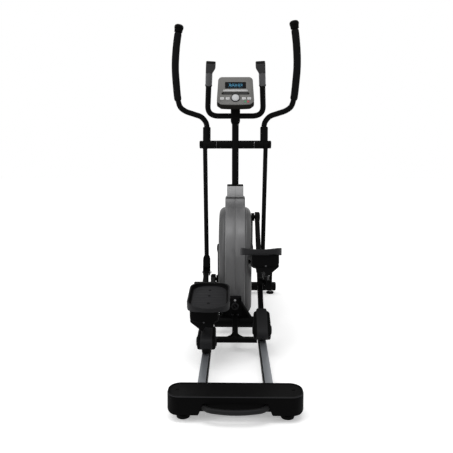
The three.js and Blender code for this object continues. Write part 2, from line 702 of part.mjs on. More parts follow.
function connectingArm() {
  const { length, width, height, hub, forkStart, endGap, cheek } = ARM;
  const tubeEnd = length - endGap;
  const [inner, outer] = [LINKAGE_X - width / 2, LINKAGE_X + width / 2];
  const tube = cut(
    box(inner, outer, forkStart, tubeEnd, -height / 2, height / 2),
    box(inner + 3, outer - 3, forkStart + 30, tubeEnd - 20, -height / 2 + 3, height / 2 - 3),
  );
  const forkInner = wheelInner - cheekGap - cheek;
  const forkOuter = wheelOuter + cheekGap + cheek;
  const cheekOutline = [
    ...arc(0, 0, 16, Math.PI / 2, 1.5 * Math.PI, 8),
    [forkStart, -16],
    [forkStart, 16],
  ];
  let shape = join(
    tube,
    box(forkInner, forkOuter, forkStart - 12, forkStart + 10, -16, 16),
    slabX(cheekOutline, forkInner, forkInner + cheek),
    slabX(cheekOutline, forkOuter - cheek, forkOuter),
    barX(hub, inner, outer, length, 0),
    barX(ARM_PIVOT.lug, inner, outer, pivotAlong, ARM_PIVOT.above),
    barX(ARM_PIVOT.pin, inner, PEDAL_ARM.x + PEDAL_ARM.width / 2 + 8, pivotAlong, ARM_PIVOT.above, 20),
    barX(11, CRANK_ARM.inner + CRANK_ARM.boss + RUN, inner + 1, length, 0, 20),
  );
  const relief = box(inner + 3, outer - 3, tubeEnd - 45, tubeEnd - 25, -height, 0);
  shape = cut(shape, relief);
  return cut(shape, barX(ROLLER.axle + RUN, forkInner - 1, forkOuter + 1, 0, 0, 20));
}

function rollerCover() {
  const outline = [
    [-44, 17],
    ...arc(-18, 22, 26, Math.PI, Math.PI / 2, 5),
    [45, 47],
    [113, 42],
    [113, -27],
    [40, -31],
    [0, -26],
  ];
  const wall = 4;
  const hollow = [
    [-44 + wall, 0],
    ...arc(-18, 22, 26 - wall, Math.PI, Math.PI / 2, 5),
    [45, 47 - wall],
    [113 - wall, 42 - wall],
    [113 - wall, -60],
    [-31 + wall, -60],
  ];
  const [inner, outer] = [LINKAGE_X - 50, LINKAGE_X + 50];
  const body = cut(slabX(outline, inner, outer), slabX(hollow, inner + wall, outer - wall));
  const half = ARM.width / 2 + 1;
  const tall = ARM.height / 2 + 1;
  return cut(body, box(LINKAGE_X - half, LINKAGE_X + half, 100, 120, -60, tall));
}

const pedalArmInner = PEDAL_ARM.x - PEDAL_ARM.width / 2;
const pedalArmOuter = PEDAL_ARM.x + PEDAL_ARM.width / 2;

function pedalArm() {
  const { x, height, eyeY, eyeZ, eyeRadius, eyeWidth, rear } = PEDAL_ARM;
  const slope = eyeZ / eyeY;
  const neck = eyeY - 56;
  const tube = barBetween([rear, rear * slope], [neck, neck * slope], height);
  const tongue = barBetween([neck - 30, (neck - 30) * slope], [eyeY, eyeZ], 30);
  const [eyeInner, eyeOuter] = [x - eyeWidth / 2, x + eyeWidth / 2];
  const pedalLow = PEDAL.tread - PEDAL.base;
  const top = pedalLow - FIT;
  const upright = [
    [rear, rear * slope - height / 2 + 8],
    [-10, 0],
    [CARRIER.front, top - 4],
    [rear - 70, top - 4],
  ];
  const deck = cut(
    box(CARRIER.inner, CARRIER.outer, CARRIER.rear, CARRIER.front, CARRIER.low, top),
    box(
      CARRIER.inner + CARRIER.wall,
      CARRIER.outer - CARRIER.wall,
      CARRIER.rear + CARRIER.wall,
      CARRIER.front - CARRIER.wall,
      CARRIER.low - 1,
      top - CARRIER.wall,
    ),
  );
  const bore = barBetween([30, 30 * slope], [neck + 1, (neck + 1) * slope], height - 2 * PEDAL_ARM.wall);
  const shape = join(
    slabX(tube, pedalArmInner, pedalArmOuter).subtract(
      slabX(bore, pedalArmInner + PEDAL_ARM.wall, pedalArmOuter - PEDAL_ARM.wall),
    ),
    slabX(tongue, eyeInner, eyeOuter),
    barX(eyeRadius, eyeInner, eyeOuter, eyeY, eyeZ),
    barX(25, pedalArmInner - 3, pedalArmOuter + 3, 0, 0),
    slabX(upright, pedalArmInner, pedalArmInner + 6),
    slabX(upright, pedalArmOuter - 6, pedalArmOuter),
    deck,
  );
  return cut(shape, barX(ARM_PIVOT.pin + RUN, pedalArmInner - 6, pedalArmOuter + 6, 0, 0, 20));
}

function pedal() {
  const { x, width, length, y, tread, rim, base, wall, corner } = PEDAL;
  const outer = slabZ(roundedRect(width, length, corner, x, y), tread - base, tread + rim, 8);
  const well = roundedRect(width - 2 * wall, length - 2 * wall, corner - wall, x, y);
  return cut(outer, slabZ(well, tread, tread + rim + 1, 8));
}

// ---- swing arms, in the frame of their pivot ---------------------------------------
function swingAxle() {
  const { y, hub, spindle, hubInner, hubOuter } = SWING;
  const z = swingZ;
  return join(
    barX(hub, -hubInner + RUN, hubInner - RUN, y, z, 32),
    barX(spindle, -hubOuter - 1, hubOuter + 1, y, z, 20),
    barX(hub - 1, hubOuter + RUN, hubOuter + END_CAP, y, z, 32),
    barX(hub - 1, -hubOuter - END_CAP, -hubOuter - RUN, y, z, 32),
  );
}

function swingArm() {
  const { length, pivotX, spindle, hub, hubInner, hubOuter } = SWING;
  const { cheek, radius, crotch, block } = FORK;
  const low = -length + crotch + block;
  const { width, depth, wall } = SWING_TUBE;
  const section = roundedRect(width, depth, width / 2 - 1);
  section.holes.push(roundedRect(width - 2 * wall, depth - 2 * wall, width / 2 - 1 - wall));
  const span = -low;
  const lean = (pivotX - PEDAL_ARM.x) / span;
  const tube = new THREE.ExtrudeGeometry(section, { depth: span, bevelEnabled: false, curveSegments: 4 });
  tube.applyMatrix4(new THREE.Matrix4().makeShear(0, 0, 0, 0, lean, 0));
  tube.translate(PEDAL_ARM.x, 0, low);
  const half = PEDAL_ARM.width / 2 + cheek;
  const [inner, outer] = [PEDAL_ARM.x - half, PEDAL_ARM.x + half];
  const cheekOutline = [
    ...arc(0, -length, radius, Math.PI, 2 * Math.PI, 10),
    [radius, low],
    [-radius, low],
  ];
  const shape = join(
    solid(tube),
    slabX(cheekOutline, inner, inner + cheek),
    slabX(cheekOutline, outer - cheek, outer),
    box(inner, outer, -radius, radius, low - block, low + 6),
    barX(9, outer - 1, outer + 6, 0, -length, 6),
    barX(hub, hubInner, hubOuter, 0, 0, 32),
    barZ(SOCKET.radius, 0, SOCKET.top, SOCKET.x, 0),
  );
  return cut(
    shape,
    barX(spindle + RUN, hubInner - 1, hubOuter + 1, 0, 0, 20),
    barZ(HANDLE.radius + FIT, SOCKET.bore, SOCKET.top + 1, SOCKET.x, 0, 24),
  );
}

const handlePoints = smoothPoints(
  [
    [SOCKET.x, 0, SOCKET.bore + 2],
    [SOCKET.x, 0, SOCKET.top - 4],
    [SOCKET.x, 0, SOCKET.top + 8],
    [SOCKET.x + 6, -2, 134],
    [SOCKET.x + 32, -7, 164],
    [250, -12, 181],
    [297, -16, 197],
    [327, -22, 219],
    [340, -34, 256],
    [350, -50, 350],
    [355, -64, 450],
    [348, -78, 560],
    [336.5, -88, 643],
    [333, -91, 664],
  ],
  HANDLE.perSpan,
);

const swingHandle = () => sweep(handlePoints, HANDLE.radius, HANDLE.wall);

function foamGrip() {
  const wall = FOAM.radius - HANDLE.radius - 2 * FIT;
  const [first, last] = [FOAM.from * HANDLE.perSpan, FOAM.to * HANDLE.perSpan];
  return sweep(handlePoints.slice(first, last + 1), FOAM.radius, wall, 16, 16);
}

function handleCap() {
  const [before, end] = handlePoints.slice(-2);
  const along = end.clone().sub(before).normalize();
  const bore = HANDLE.radius + 2 * FIT;
  const low = -CAP.sleeve;
  const profile = [
    [bore, low],
    [CAP.radius - 3, low],
    [CAP.radius - 2, low + 14],
    [CAP.radius, low + 18],
    [CAP.radius, CAP.crown - 12],
    [CAP.radius - 5, CAP.crown - 2],
    [0, CAP.crown],
    [0, 2],
    [bore, 2],
    [bore, low],
  ].map(([r, h]) => new THREE.Vector2(r, h));
  const geometry = new THREE.LatheGeometry(profile, 28);
  const turn = new THREE.Quaternion().setFromUnitVectors(new THREE.Vector3(0, 1, 0), along);
  return solid(geometry.applyQuaternion(turn).translate(end.x, end.y, end.z));
}

function addSide(side) {
  const name = side > 0 ? "_right" : "_left";
  const crankAngle = side > 0 ? 0 : Math.PI;
  const at = linkageAt(crankAngle);
  const half = new THREE.Group();
  half.scale.x = side;
  trainer.add(half);
  const frame = (y, z, turn) => {
    const group = new THREE.Group();
    group.position.set(0, y, z);
    group.rotation.x = turn;
    half.add(group);
    return group;
  };
  part("crank_arm" + name, crankArm(), satinBlack(), frame(CRANK.y, CRANK.z, -crankAngle));
  part("roller_axle" + name, rollerAxle(), steel(), frame(at.rollerY, rollerZ, 0));
  part("roller_wheel" + name, rollerWheel(), rubber(), frame(at.rollerY, rollerZ, 0));
  const arm = frame(at.rollerY, rollerZ, at.tilt);
  part("connecting_arm" + name, connectingArm(), satinBlack(), arm);
  part("roller_cover" + name, rollerCover(), charcoal(), arm);
  const tread = frame(at.pivotY, at.pivotZ, at.pedalAngle);
  part("pedal_arm" + name, pedalArm(), satinBlack(), tread);
  part("pedal" + name, pedal(), charcoal(), tread);
  const swing = frame(SWING.y, swingZ, at.swingAngle);
  part("swing_arm" + name, swingArm(), satinBlack(), swing);
  part("swing_handle" + name, swingHandle(), satinBlack(), swing);
  part("foam_grip" + name, foamGrip(), rubber(), swing);
  part("handle_cap" + name, handleCap(), blackPlastic(), swing);
  part("casing" + name, casingHalf(), silverGrey(), half);
  part("rail" + name, rail(1), aluminium(), half);
  part("transport_wheel" + name, transportWheel(1), rubber(), half);
  part("foot_front" + name, foot(frontFootX, FRONT_STABILISER.y, FLOOR_TO_STABILISER), rubber(), half);
  const rearLow = REAR_STABILISER.z - REAR_STABILISER.height / 2;
  part("foot_rear" + name, foot(rearFootX, REAR_STABILISER.y, rearLow), rubber(), half);
  part("pulse_grip" + name, pulseGrip(), charcoal(), half);
}

// ---- fixed handlebar --------------------------------------------------------
const uTop = (side) => [side * U_BAR.topX, U_BAR.topY, handlebarZ + U_BAR.height];
const uCorner = (side) => [side * U_BAR.halfWidth, U_BAR.y, handlebarZ];

function handlebar() {
  const corners = [uTop(-1), uCorner(-1), uCorner(1), uTop(1)];
  return sweep(bentPoints(corners, U_BAR.bend, 6), HANDLE.radius, HANDLE.wall);
}

// A sleeve on the end of the handlebar's arm, closed by a pod.
function pulseGrip() {
  const top = new THREE.Vector3(...uTop(1));
  const up = top.clone().sub(new THREE.Vector3(...uCorner(1))).normalize();
  const { radius, length, start } = PULSE_GRIP;
  const at = (distance) => top.clone().addScaledVector(up, distance).toArray();
  const sleeve = bar(at(-length - start + POD.length), at(0), radius, 20);
  const pod = new THREE.BoxGeometry(POD.width, POD.depth, POD.length);
  const side = new THREE.Vector3(1, 0, 0).addScaledVector(up, -up.x).normalize();
  const turn = new THREE.Matrix4().makeBasis(side, up.clone().cross(side), up);
  pod.translate(-(POD.width / 2 - radius), 0, 0).applyMatrix4(turn);
  pod.translate(...at(POD.length / 2 - 28));
  const bore = bar(at(-length * 2), at(FIT), HANDLE.radius + 2 * FIT, 24);
  return cut(join(sleeve, solid(pod)), bore);
}

function mastHead() {
  const { width, rearY, frontY, sleeve, rise } = HEAD;
  const low = mastTop - sleeve;
  const clear = FIT * 2;
  const socket = roundedRect(MAST.width + clear, MAST.depth + clear, MAST.corner + FIT, 0, MAST.y);
  return cut(
    box(-width / 2, width / 2, rearY, frontY, low, mastTop + rise),
    slabZ(socket, low - 1, mastTop + FIT, 4),
    barX(HANDLE.radius + 2 * FIT, -width, width, U_BAR.y, handlebarZ, 24),
  );
}

// ---- console, in the frame of its sloping face -----------------------------------
function consoleHousing() {
  const { width, topWidth, height, thickness, top } = CONSOLE;
  const low = top - height;
  const outline = new THREE.Shape();
  outline.moveTo(-width / 2 + 24, low);
  outline.lineTo(width / 2 - 24, low);
  outline.lineTo(width / 2, low + 26);
  outline.lineTo(topWidth / 2 + 2, top - 14);
  outline.quadraticCurveTo(topWidth / 2, top, topWidth / 2 - 16, top);
  outline.lineTo(-topWidth / 2 + 16, top);
  outline.quadraticCurveTo(-topWidth / 2, top, -topWidth / 2 - 2, top - 14);
  outline.lineTo(-width / 2, low + 26);
  const slab = slabZ(outline, -thickness, 0, 5);
  const chin = new THREE.BoxGeometry(width + 20, 60, 60).rotateX(-0.9).translate(0, low - 4, 22);
  const window = box(
    -DISPLAY.width / 2 - FIT,
    DISPLAY.width / 2 + FIT,
    DISPLAY.v - DISPLAY.height / 2 - FIT,
    DISPLAY.v + DISPLAY.height / 2 + FIT,
    -DISPLAY.depth - FIT,
    1,
  );
  const pockets = BUTTON.columns.map((x) =>
    pocket(x, BUTTON.v, BUTTON.width, BUTTON.height, BUTTON.body - BUTTON.proud + BUTTON.travel + RUN),
  );
  const rockerPocket = pocket(ROCKER.x, ROCKER.v, ROCKER.width, ROCKER.height, ROCKER.body + 1);
  const shaftHole = barZ(DIAL.shaft + RUN, -12, 1, 0, DIAL.v, 16);
  return cut(slab, solid(chin), window, shaftHole, rockerPocket, ...pockets);
}

function pocket(x, v, width, height, depth) {
  const [w, h] = [width / 2 + RUN, height / 2 + RUN];
  return box(x - w, x + w, v - h, v + h, -depth, 1);
}

function displayWindow() {
  const { width, height, v, depth } = DISPLAY;
  return box(-width / 2, width / 2, v - height / 2, v + height / 2, -depth, 0);
}

function dial() {
  const { radius, height, v, shaft } = DIAL;
  const profile = [
    [0, -10],
    [shaft, -10],
    [shaft, RUN],
    [radius, RUN],
    [radius, height - 4],
    [radius - 4, height],
    [0, height],
  ].map(([r, h]) => new THREE.Vector2(r, h));
  return solid(new THREE.LatheGeometry(profile, 32).rotateX(Math.PI / 2).translate(0, v, 0));
}

function addConsole() {
  const face = new THREE.Group();
  face.position.set(0, CONSOLE.y, mastTop + CONSOLE.rise);
  face.rotation.x = THREE.MathUtils.degToRad(90 - CONSOLE.lean);
  trainer.add(face);
  part("console", consoleHousing(), consoleGrey(), face);
  part("display_window", displayWindow(), paint(0x05070c, 0.1, 0), face);
  part("dial", dial(), paint(0xc9cbcd, 0.3, 0.6), face);
  const { width, height, v, proud, body } = BUTTON;
  BUTTON.columns.forEach((x, i) => {
    const key = box(x - width / 2, x + width / 2, v - height / 2, v + height / 2, proud - body, proud);
    part("button_" + (i + 1), key, paint(0xe4e4e2, 0.5, 0), face);
  });
  const [halfW, halfH] = [ROCKER.width / 2, ROCKER.height / 2];
  const rocker = box(
    ROCKER.x - halfW,
    ROCKER.x + halfW,
    ROCKER.v - halfH,
    ROCKER.v + halfH,
    ROCKER.proud - ROCKER.body,
    ROCKER.proud,
  );
  part("start_stop_rocker", rocker, paint(0x3a7d58, 0.5, 0), face);
}

// ---- assembly ---------------------------------------------------------------
part("main_frame", mainFrame(), satinBlack());
part("mast", mast(), satinBlack());
part("front_stabiliser", frontStabiliser(), satinBlack());
part("rear_stabiliser", rearStabiliser(), satinBlack());
part("rear_cover", rearCover(), blackPlastic());
part("lift_handle", liftHandle(), satinBlack());
part("rail_yoke", railYoke(), satinBlack());
part("lock_knob", lockKnob(), blackPlastic());
part("mast_collar", mastCollar(), paint(0x8e8e8d, 0.5, 0.3));
part("crank_axle", barX(CRANK.axle, -crankOuter, crankOuter, CRANK.y, CRANK.z, 20), steel());
part("drive_pulley", drivePulley(), blackPlastic());
part("drive_belt", driveBelt(), rubber());
part("flywheel", flywheel(), steel());
part("brake_yoke", brakeYoke(), aluminium());
part("swing_axle", swingAxle(), satinBlack());
part("handlebar", handlebar(), satinBlack());
part("mast_head", mastHead(), blackPlastic());
addSide(1);
addSide(-1);
addConsole();

export default trainer;
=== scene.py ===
"""Elliptical trainer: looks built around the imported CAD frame. Lengths are in millimetres."""

import json
import math
from functools import partial

import bmesh
import bpy
from mathutils import Matrix, Vector


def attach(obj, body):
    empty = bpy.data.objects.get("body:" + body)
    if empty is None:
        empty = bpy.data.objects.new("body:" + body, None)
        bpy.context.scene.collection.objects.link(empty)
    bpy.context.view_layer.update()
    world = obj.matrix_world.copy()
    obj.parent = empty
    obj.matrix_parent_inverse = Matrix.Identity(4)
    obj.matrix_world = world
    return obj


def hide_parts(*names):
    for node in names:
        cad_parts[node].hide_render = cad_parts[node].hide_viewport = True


bl_info = {
    "name": "Elliptical trainer",
    "version": (1, 0, 0),
    "blender": (4, 5, 0),
    "location": "3D View > Sidebar > Trainer",
    "description": "Builds the looks of an elliptical trainer around its CAD frame",
    "category": "Object",
}

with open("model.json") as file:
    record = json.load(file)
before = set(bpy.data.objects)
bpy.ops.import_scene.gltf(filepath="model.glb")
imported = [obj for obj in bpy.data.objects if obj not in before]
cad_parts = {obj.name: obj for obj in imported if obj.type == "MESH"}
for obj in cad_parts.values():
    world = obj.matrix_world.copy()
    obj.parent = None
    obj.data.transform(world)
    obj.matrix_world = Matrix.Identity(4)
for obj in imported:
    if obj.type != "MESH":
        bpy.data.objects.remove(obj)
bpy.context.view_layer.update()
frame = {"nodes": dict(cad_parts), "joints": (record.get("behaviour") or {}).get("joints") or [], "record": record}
RECORD = frame["record"]
MM = 0.001
PI = math.pi
SIDES = {"right": 1, "left": -1}
MIRROR = {name: Matrix.Diagonal((side, 1, 1, 1)) for name, side in SIDES.items()}
SLOTS = {m["slot"] for m in RECORD["materials"]}
SLOT_OF = {s["node"]: s["material_slot"] for s in RECORD["subparts"]}
BODY_OF = {node: body for body, nodes in RECORD["behaviour"]["bodies"].items() for node in nodes}
PIVOT = {j["name"]: Vector(j["pos_m"]) / MM for j in frame["joints"] if "pos_m" in j}


# ---- settings ------------------------------------------------------------------
def shade(name, description, value):
    return bpy.props.FloatVectorProperty(
        name=name, description=description, default=value, size=3, min=0, max=1, subtype="COLOR"
    )


def length(name, description, millimetres):
    return bpy.props.FloatProperty(
        name=name, description=description, default=millimetres * MM, min=0, unit="LENGTH"
    )


class TrainerFinishes(bpy.types.PropertyGroup):
    powder: shade("Powder coat", "Satin black of the frame tubes", (0.0025, 0.0025, 0.0026))
    plastic: shade("Black plastic", "Mouldings on the base and mast", (0.0018, 0.0018, 0.0019))
    charcoal: shade("Charcoal plastic", "Pedals and roller covers", (0.0095, 0.0095, 0.0104))
    # this colour also paints the highlight along the rear cover's rim
    tread: shade("Tread", "Lighter plastic of the treads and spines", (0.0125, 0.0125, 0.0138))
    grip: shade("Pulse grip", "Grey sleeves on the fixed bar", (0.076, 0.076, 0.079))
    pod: shade("Pulse pod", "Darker ends of the pulse grips", (0.026, 0.026, 0.027))
    casing: shade("Casing", "Silver grey lacquer of the drive casing", (0.138, 0.138, 0.14))
    collar: shade("Collar", "Lighter grey of the mast collar", (0.33, 0.33, 0.333))
    console: shade("Console", "Warm metallic grey of the console", (0.122, 0.12, 0.115))
    rail: shade("Rail", "Anodised aluminium of the rails", (0.3, 0.315, 0.335))
    foam: shade("Foam", "Closed-cell foam of the long grips", (0.0052, 0.0052, 0.0055))
    glow: shade("Display", "Lit segments of the display", (0.03, 0.36, 0.62))


class TrainerSizes(bpy.types.PropertyGroup):
    edge: length("Edge", "Rounding of the drive's and rear stabiliser's edges", 0.8)
    foam: length("Foam radius", "Outer radius of the foam grips", 21.7)
    tube: length("Tube radius", "Outer radius of the handlebar tubes", 16.0)


def size(name):
    return getattr(bpy.context.scene.trainer_sizes, name) / MM


# ---- shader maths --------------------------------------------------------------
class Value:
    """A socket that takes part in Python arithmetic."""

    def __init__(self, shader, socket):
        self.shader, self.socket = shader, socket

    def maths(self, operation, *values):
        return self.shader.add("ShaderNodeMath", {"operation": operation}, dict(enumerate(values)))

    def __add__(self, other):
        return self.maths("ADD", self, other)

    def __radd__(self, other):
        return self.maths("ADD", other, self)

    def __mul__(self, other):
        return self.maths("MULTIPLY", self, other)

    def __rmul__(self, other):
        return self.maths("MULTIPLY", other, self)

    def __abs__(self):
        return self.maths("ABSOLUTE", self)


class Shader:
    """A node material with one Principled BSDF."""

    def __init__(self, name, **constants):
        self.material = bpy.data.materials.new(name)
        self.material.use_nodes = True
        self.tree = self.material.node_tree
        self.surface = self.tree.nodes["Principled BSDF"]
        self.link(**constants)

    def set(self, node, key, value):
        socket = node.inputs[key]
        if isinstance(value, Value):
            self.tree.links.new(value.socket, socket)
        elif hasattr(value, "__len__") and len(value) == 3 and len(socket.default_value) == 4:
            socket.default_value = (*value, 1)
        else:
            socket.default_value = value

    def add(self, kind, settings=None, inputs=None, out=0):
        node = self.tree.nodes.new(kind)
        for key, value in (settings or {}).items():
            setattr(node, key, value)
        for key, value in (inputs or {}).items():
            self.set(node, key, value)
        return Value(self, node.outputs[out])

    def link(self, **inputs):
        for key, value in inputs.items():
            self.set(self.surface, key.replace("_", " "), value)

    def place(self, scale=(1, 1, 1)):
        """The point being shaded, in metres, in the frame of the object."""
        where = self.add("ShaderNodeTexCoord", out="Object")
        return self.add("ShaderNodeMapping", {}, {"Vector": where, "Scale": scale})

    def axes(self):
        where = self.place()
        return [self.add("ShaderNodeSeparateXYZ", {}, {0: where}, out=i) for i in range(3)]

    def noise(self, scale, detail=2.0, roughness=0.5, stretch=(1, 1, 1)):
        where = self.place(stretch)
        inputs = {"Vector": where, "Scale": scale, "Detail": detail, "Roughness": roughness}
        return self.add("ShaderNodeTexNoise", {}, inputs)

    def cells(self, scale, out=0):
        return self.add("ShaderNodeTexVoronoi", {}, {"Vector": self.place(), "Scale": scale}, out)

    def mix(self, factor, a, b):
        return self.add("ShaderNodeMix", {"data_type": "RGBA"}, {0: factor, 6: a, 7: b}, out=2)

    def shades(self, factor, colour, low, high):
        return self.mix(factor, tint(colour, low), tint(colour, high))

    def range(self, value, low, high, to_low=0, to_high=1):
        inputs = {0: value, 1: low, 2: high, 3: to_low, 4: to_high}
        return self.add("ShaderNodeMapRange", {}, inputs)

    def cloudy(self, value, low, high):
        """A noise's usual spread, stretched between two values."""
        return self.range(value, 0.3, 0.7, low, high)

    def finish(self, colour, roughness, height, distance, strength):
        """Links the surface's colour, roughness and bump; the material is done."""
        self.link(Base_Color=colour, Roughness=roughness)
        inputs = {"Height": height, "Distance": distance, "Strength": strength}
        self.link(Normal=self.add("ShaderNodeBump", {}, inputs))
        return self.material


def tint(colour, factor):
    return tuple(min(1, c * factor) for c in colour)


def powder_coat(name, colour, gloss=0.42, specular=0.035):
    """Satin powder coat: a fine orange peel and slightly uneven gloss."""
    s = Shader(name, Specular_IOR_Level=specular)
    peel, cloud = s.noise(1400), s.noise(9, 3)
    return s.finish(
        s.shades(cloud, colour, 0.85, 1.2),
        s.cloudy(cloud, gloss, gloss + 0.1) + 0.06 * peel,
        peel, 0.00006, 0.3,
    )


def moulded(name, colour, gloss=0.5, grain=2200, depth=0.0001, specular=0.03):
    """Moulded plastic with a spark-eroded grain."""
    s = Shader(name, Specular_IOR_Level=specular)
    pits, cloud = s.cells(grain), s.noise(14, 3)
    return s.finish(
        s.shades(cloud, colour, 0.88, 1.15),
        s.cloudy(cloud, gloss - 0.04, gloss + 0.05) + 0.08 * pits,
        pits, depth, 0.4,
    )


# where painted shade darkens the casing's flanks and the neck's top edge
FLANK_SHADE_START, FLANK_SHADE_END = 0.0605, 0.064  # metres from the middle, beside the casing's ridge
NECK_SHADE_BAND = 0.704, 0.707  # metres up, under the mast collar


def metallic_lacquer(name, colour, metal=0.35, gloss=0.4, flank=1.0):
    """Lacquer with fine aluminium flake; painted shade darkens the flanks and the neck's top edge."""
    s = Shader(name, Metallic=metal, Specular_IOR_Level=0.25)
    flake = s.cells(3200, out="Color")
    sparkle = s.add("ShaderNodeSeparateColor", {}, {0: flake})
    cloud = s.noise(5, 3)
    body = s.shades(cloud, colour, 0.94, 1.06)
    body = s.mix(s.range(sparkle, 0.8, 1, 0, 0.45), body, tint(colour, 1.8))
    # painted shade: the flanks and a band under the collar are darker in the colour
    if flank < 1:
        across, _, height = s.axes()
        body = s.mix(s.range(abs(across), FLANK_SHADE_START, FLANK_SHADE_END), body, tint(colour, flank))
        body = s.mix(s.range(height, *NECK_SHADE_BAND), body, tint(colour, 0.4))
    return s.finish(body, s.cloudy(cloud, gloss - 0.03, gloss + 0.05), s.noise(700), 0.00005, 0.2)


def drawn_metal(name, colour, stretch, metal=1.0, gloss=0.34):
    """Metal with fine lines along one axis."""
    s = Shader(name, Metallic=metal)
    lines, cloud = s.noise(900, 3, 0.6, stretch), s.noise(11)
    return s.finish(
        s.shades(lines, colour, 0.82, 1.12),
        s.cloudy(lines, gloss - 0.07, gloss + 0.09) + 0.06 * cloud,
        lines, 0.00006, 0.3,
    )


def closed_foam(name, colour):
    """Closed-cell foam: open pores, painted darker as shade in their hollows, over a soft, matt skin."""
    s = Shader(name, Specular_IOR_Level=0.03)
    pores, coarse = s.cells(1500), s.noise(260, 3)
    skin = s.range(pores, 0.05, 0.4)
    return s.finish(
        # painted shade: the pores are darker than the skin
        s.shades(skin, colour, 0.7, 1.15),
        s.cloudy(coarse, 0.62, 0.78),
        skin + 0.5 * coarse, 0.00015, 0.35,
    )


def moulded_rubber(name, colour):
    """Rubber with a little dust in its grain."""
    s = Shader(name, Specular_IOR_Level=0.06)
    dust = s.noise(60, 4)
    return s.finish(
        s.mix(s.range(dust, 0.5, 0.75), colour, tint(colour, 1.9)),
        s.cloudy(dust, 0.6, 0.75),
        s.noise(900), 0.0001, 0.3,
    )


def lit_segments(name, colour):
    s = Shader(name, Base_Color=(0.0, 0.0, 0.0), Roughness=0.3, Emission_Strength=1.0)
    s.link(Emission_Color=s.shades(s.noise(90), colour, 0.5, 1.3))
    return s.material


def make_materials():
    f = bpy.context.scene.trainer_finishes
    along_y, along_x = (1, 0.03, 1), (0.04, 1, 1)
    return {
        "satin_black_paint": powder_coat("satin_black_powder", f.powder),
        "gloss_black_paint": powder_coat("gloss_black_enamel", tint(f.powder, 4.5), 0.32, 0.08),
        "black_plastic": moulded("black_moulding", f.plastic),
        "cover_plastic": moulded(
            "rear_cover_moulding", tint(f.plastic, 0.75), 0.48, specular=0.028
        ),
        "charcoal_plastic": moulded("charcoal_moulding", f.charcoal, 0.48, specular=0.12),
        # the tread plastic also colours the painted highlight on the rear cover's rim
        "tread_plastic": moulded("tread_moulding", f.tread, 0.55, 1500, 0.0002, 0.12),
        "grip_plastic": moulded("grey_grip_moulding", f.grip, specular=0.15),
        "pod_plastic": moulded("dark_grip_moulding", f.pod, 0.45, specular=0.15),
        # painted shade: the casing's flanks at 0.54 of the lacquer's colour
        "grey_casing": metallic_lacquer("silver_grey_lacquer", f.casing, flank=0.54),
        "collar_grey": metallic_lacquer("light_grey_lacquer", f.collar, 0.2, 0.45),
        "rail_aluminium": drawn_metal("anodised_rail", f.rail, along_y, 0.85, 0.4),
        "bright_steel": drawn_metal("turned_steel", (0.4, 0.4, 0.41), along_x, 1.0, 0.28),
        "dark_steel": drawn_metal("blackened_steel", (0.07, 0.07, 0.073), along_x, 0.9, 0.38),
        "flywheel_iron": drawn_metal("machined_iron", (0.16, 0.16, 0.165), along_x, 0.9, 0.4),
        "black_rubber": moulded_rubber("black_rubber", (0.003, 0.003, 0.003)),
        "foam": closed_foam("closed_cell_foam", f.foam),
        "console_grey": metallic_lacquer("console_lacquer", f.console, 0.15, 0.42),
        "console_back": moulded(
            "console_back_moulding", (0.0074, 0.0067, 0.0055), 0.45, specular=0.06
        ),
        "display_pane": moulded("display_pane", (0.0008, 0.0011, 0.0024), 0.2, 600, 0.00001, 0.06),
        "display_glow": lit_segments("lit_segments", f.glow),
        "dial_silver": moulded("pearl_moulding", (0.5, 0.51, 0.52), 0.3, specular=0.3),
        "key_white": moulded("white_moulding", (0.55, 0.55, 0.55), 0.4, specular=0.3),
        "rocker_green": moulded("green_moulding", (0.04, 0.26, 0.11), 0.4, specular=0.3),
        "stop_red": moulded("red_moulding", (0.42, 0.05, 0.07), 0.4, specular=0.3),
    }


# ---- shapes --------------------------------------------------------------------
def loft(rings, around=False):
    """A skin over rings that have the same number of points; around joins last to first."""
    bm = bmesh.new()
    rows = [[bm.verts.new(p) for p in ring] for ring in rings]
    count = len(rows[0])
    for a, b in list(zip(rows, rows[1:])) + ([(rows[-1], rows[0])] if around else []):
        for i in range(count):
            j = (i + 1) % count
            bm.faces.new((a[i], a[j], b[j], b[i]))
    if not around:
        bm.faces.new(rows[0][::-1])
        bm.faces.new(rows[-1])
    return bm


def level(outline, z):
    return [(x, y, z) for x, y in outline]


def upright(outline, y):
    return [(x, y, z) for x, z in outline]


def edgewise(outline, x):
    return [(x, y, z) for y, z in outline]


def prism(outline, low, high):
    return loft([level(outline, z) for z in (low, high)])


def bar(outline, y0, y1):
    return loft([upright(outline, y) for y in (y0, y1)])


def slab(outline, x0, x1):
    return loft([edgewise(outline, x) for x in (x0, x1)])


def block(x0, x1, y0, y1, z0, z1):
    return prism([(x0, y0), (x1, y0), (x1, y1), (x0, y1)], z0, z1)


def circle(radius, sides):
    step = 2 * PI / sides
    return [(radius * math.cos(step * i), radius * math.sin(step * i)) for i in range(sides)]


def turned(profile, sides=48, closed=False):
    """A solid of revolution about Z from (radius, height) points; closed joins last to first."""
    return loft([level(circle(max(r, 0.02), sides), h) for r, h in profile], closed)


def both_ways(profile):
    """A profile's lower half, and the same again above."""
    return profile + [(r, -h) for r, h in reversed(profile)]


def arc(centre, radius, start, end, steps):
    """Points on an arc; the angles are in degrees."""
    angles = [math.radians(start + (end - start) * i / steps) for i in range(steps + 1)]
    return [(centre[0] + radius * math.cos(a), centre[1] + radius * math.sin(a)) for a in angles]


def rounded(x0, x1, y0, y1, radius, steps=8):
    """A rectangle with rounded corners."""
    points = []
    for cx, cy, start in (
        (x1 - radius, y1 - radius, 0), (x0 + radius, y1 - radius, 1),
        (x0 + radius, y0 + radius, 2), (x1 - radius, y0 + radius, 3),
    ):
        for i in range(steps + 1):
            a = PI / 2 * (start + i / steps)
            points.append((cx + radius * math.cos(a), cy + radius * math.sin(a)))
    return points


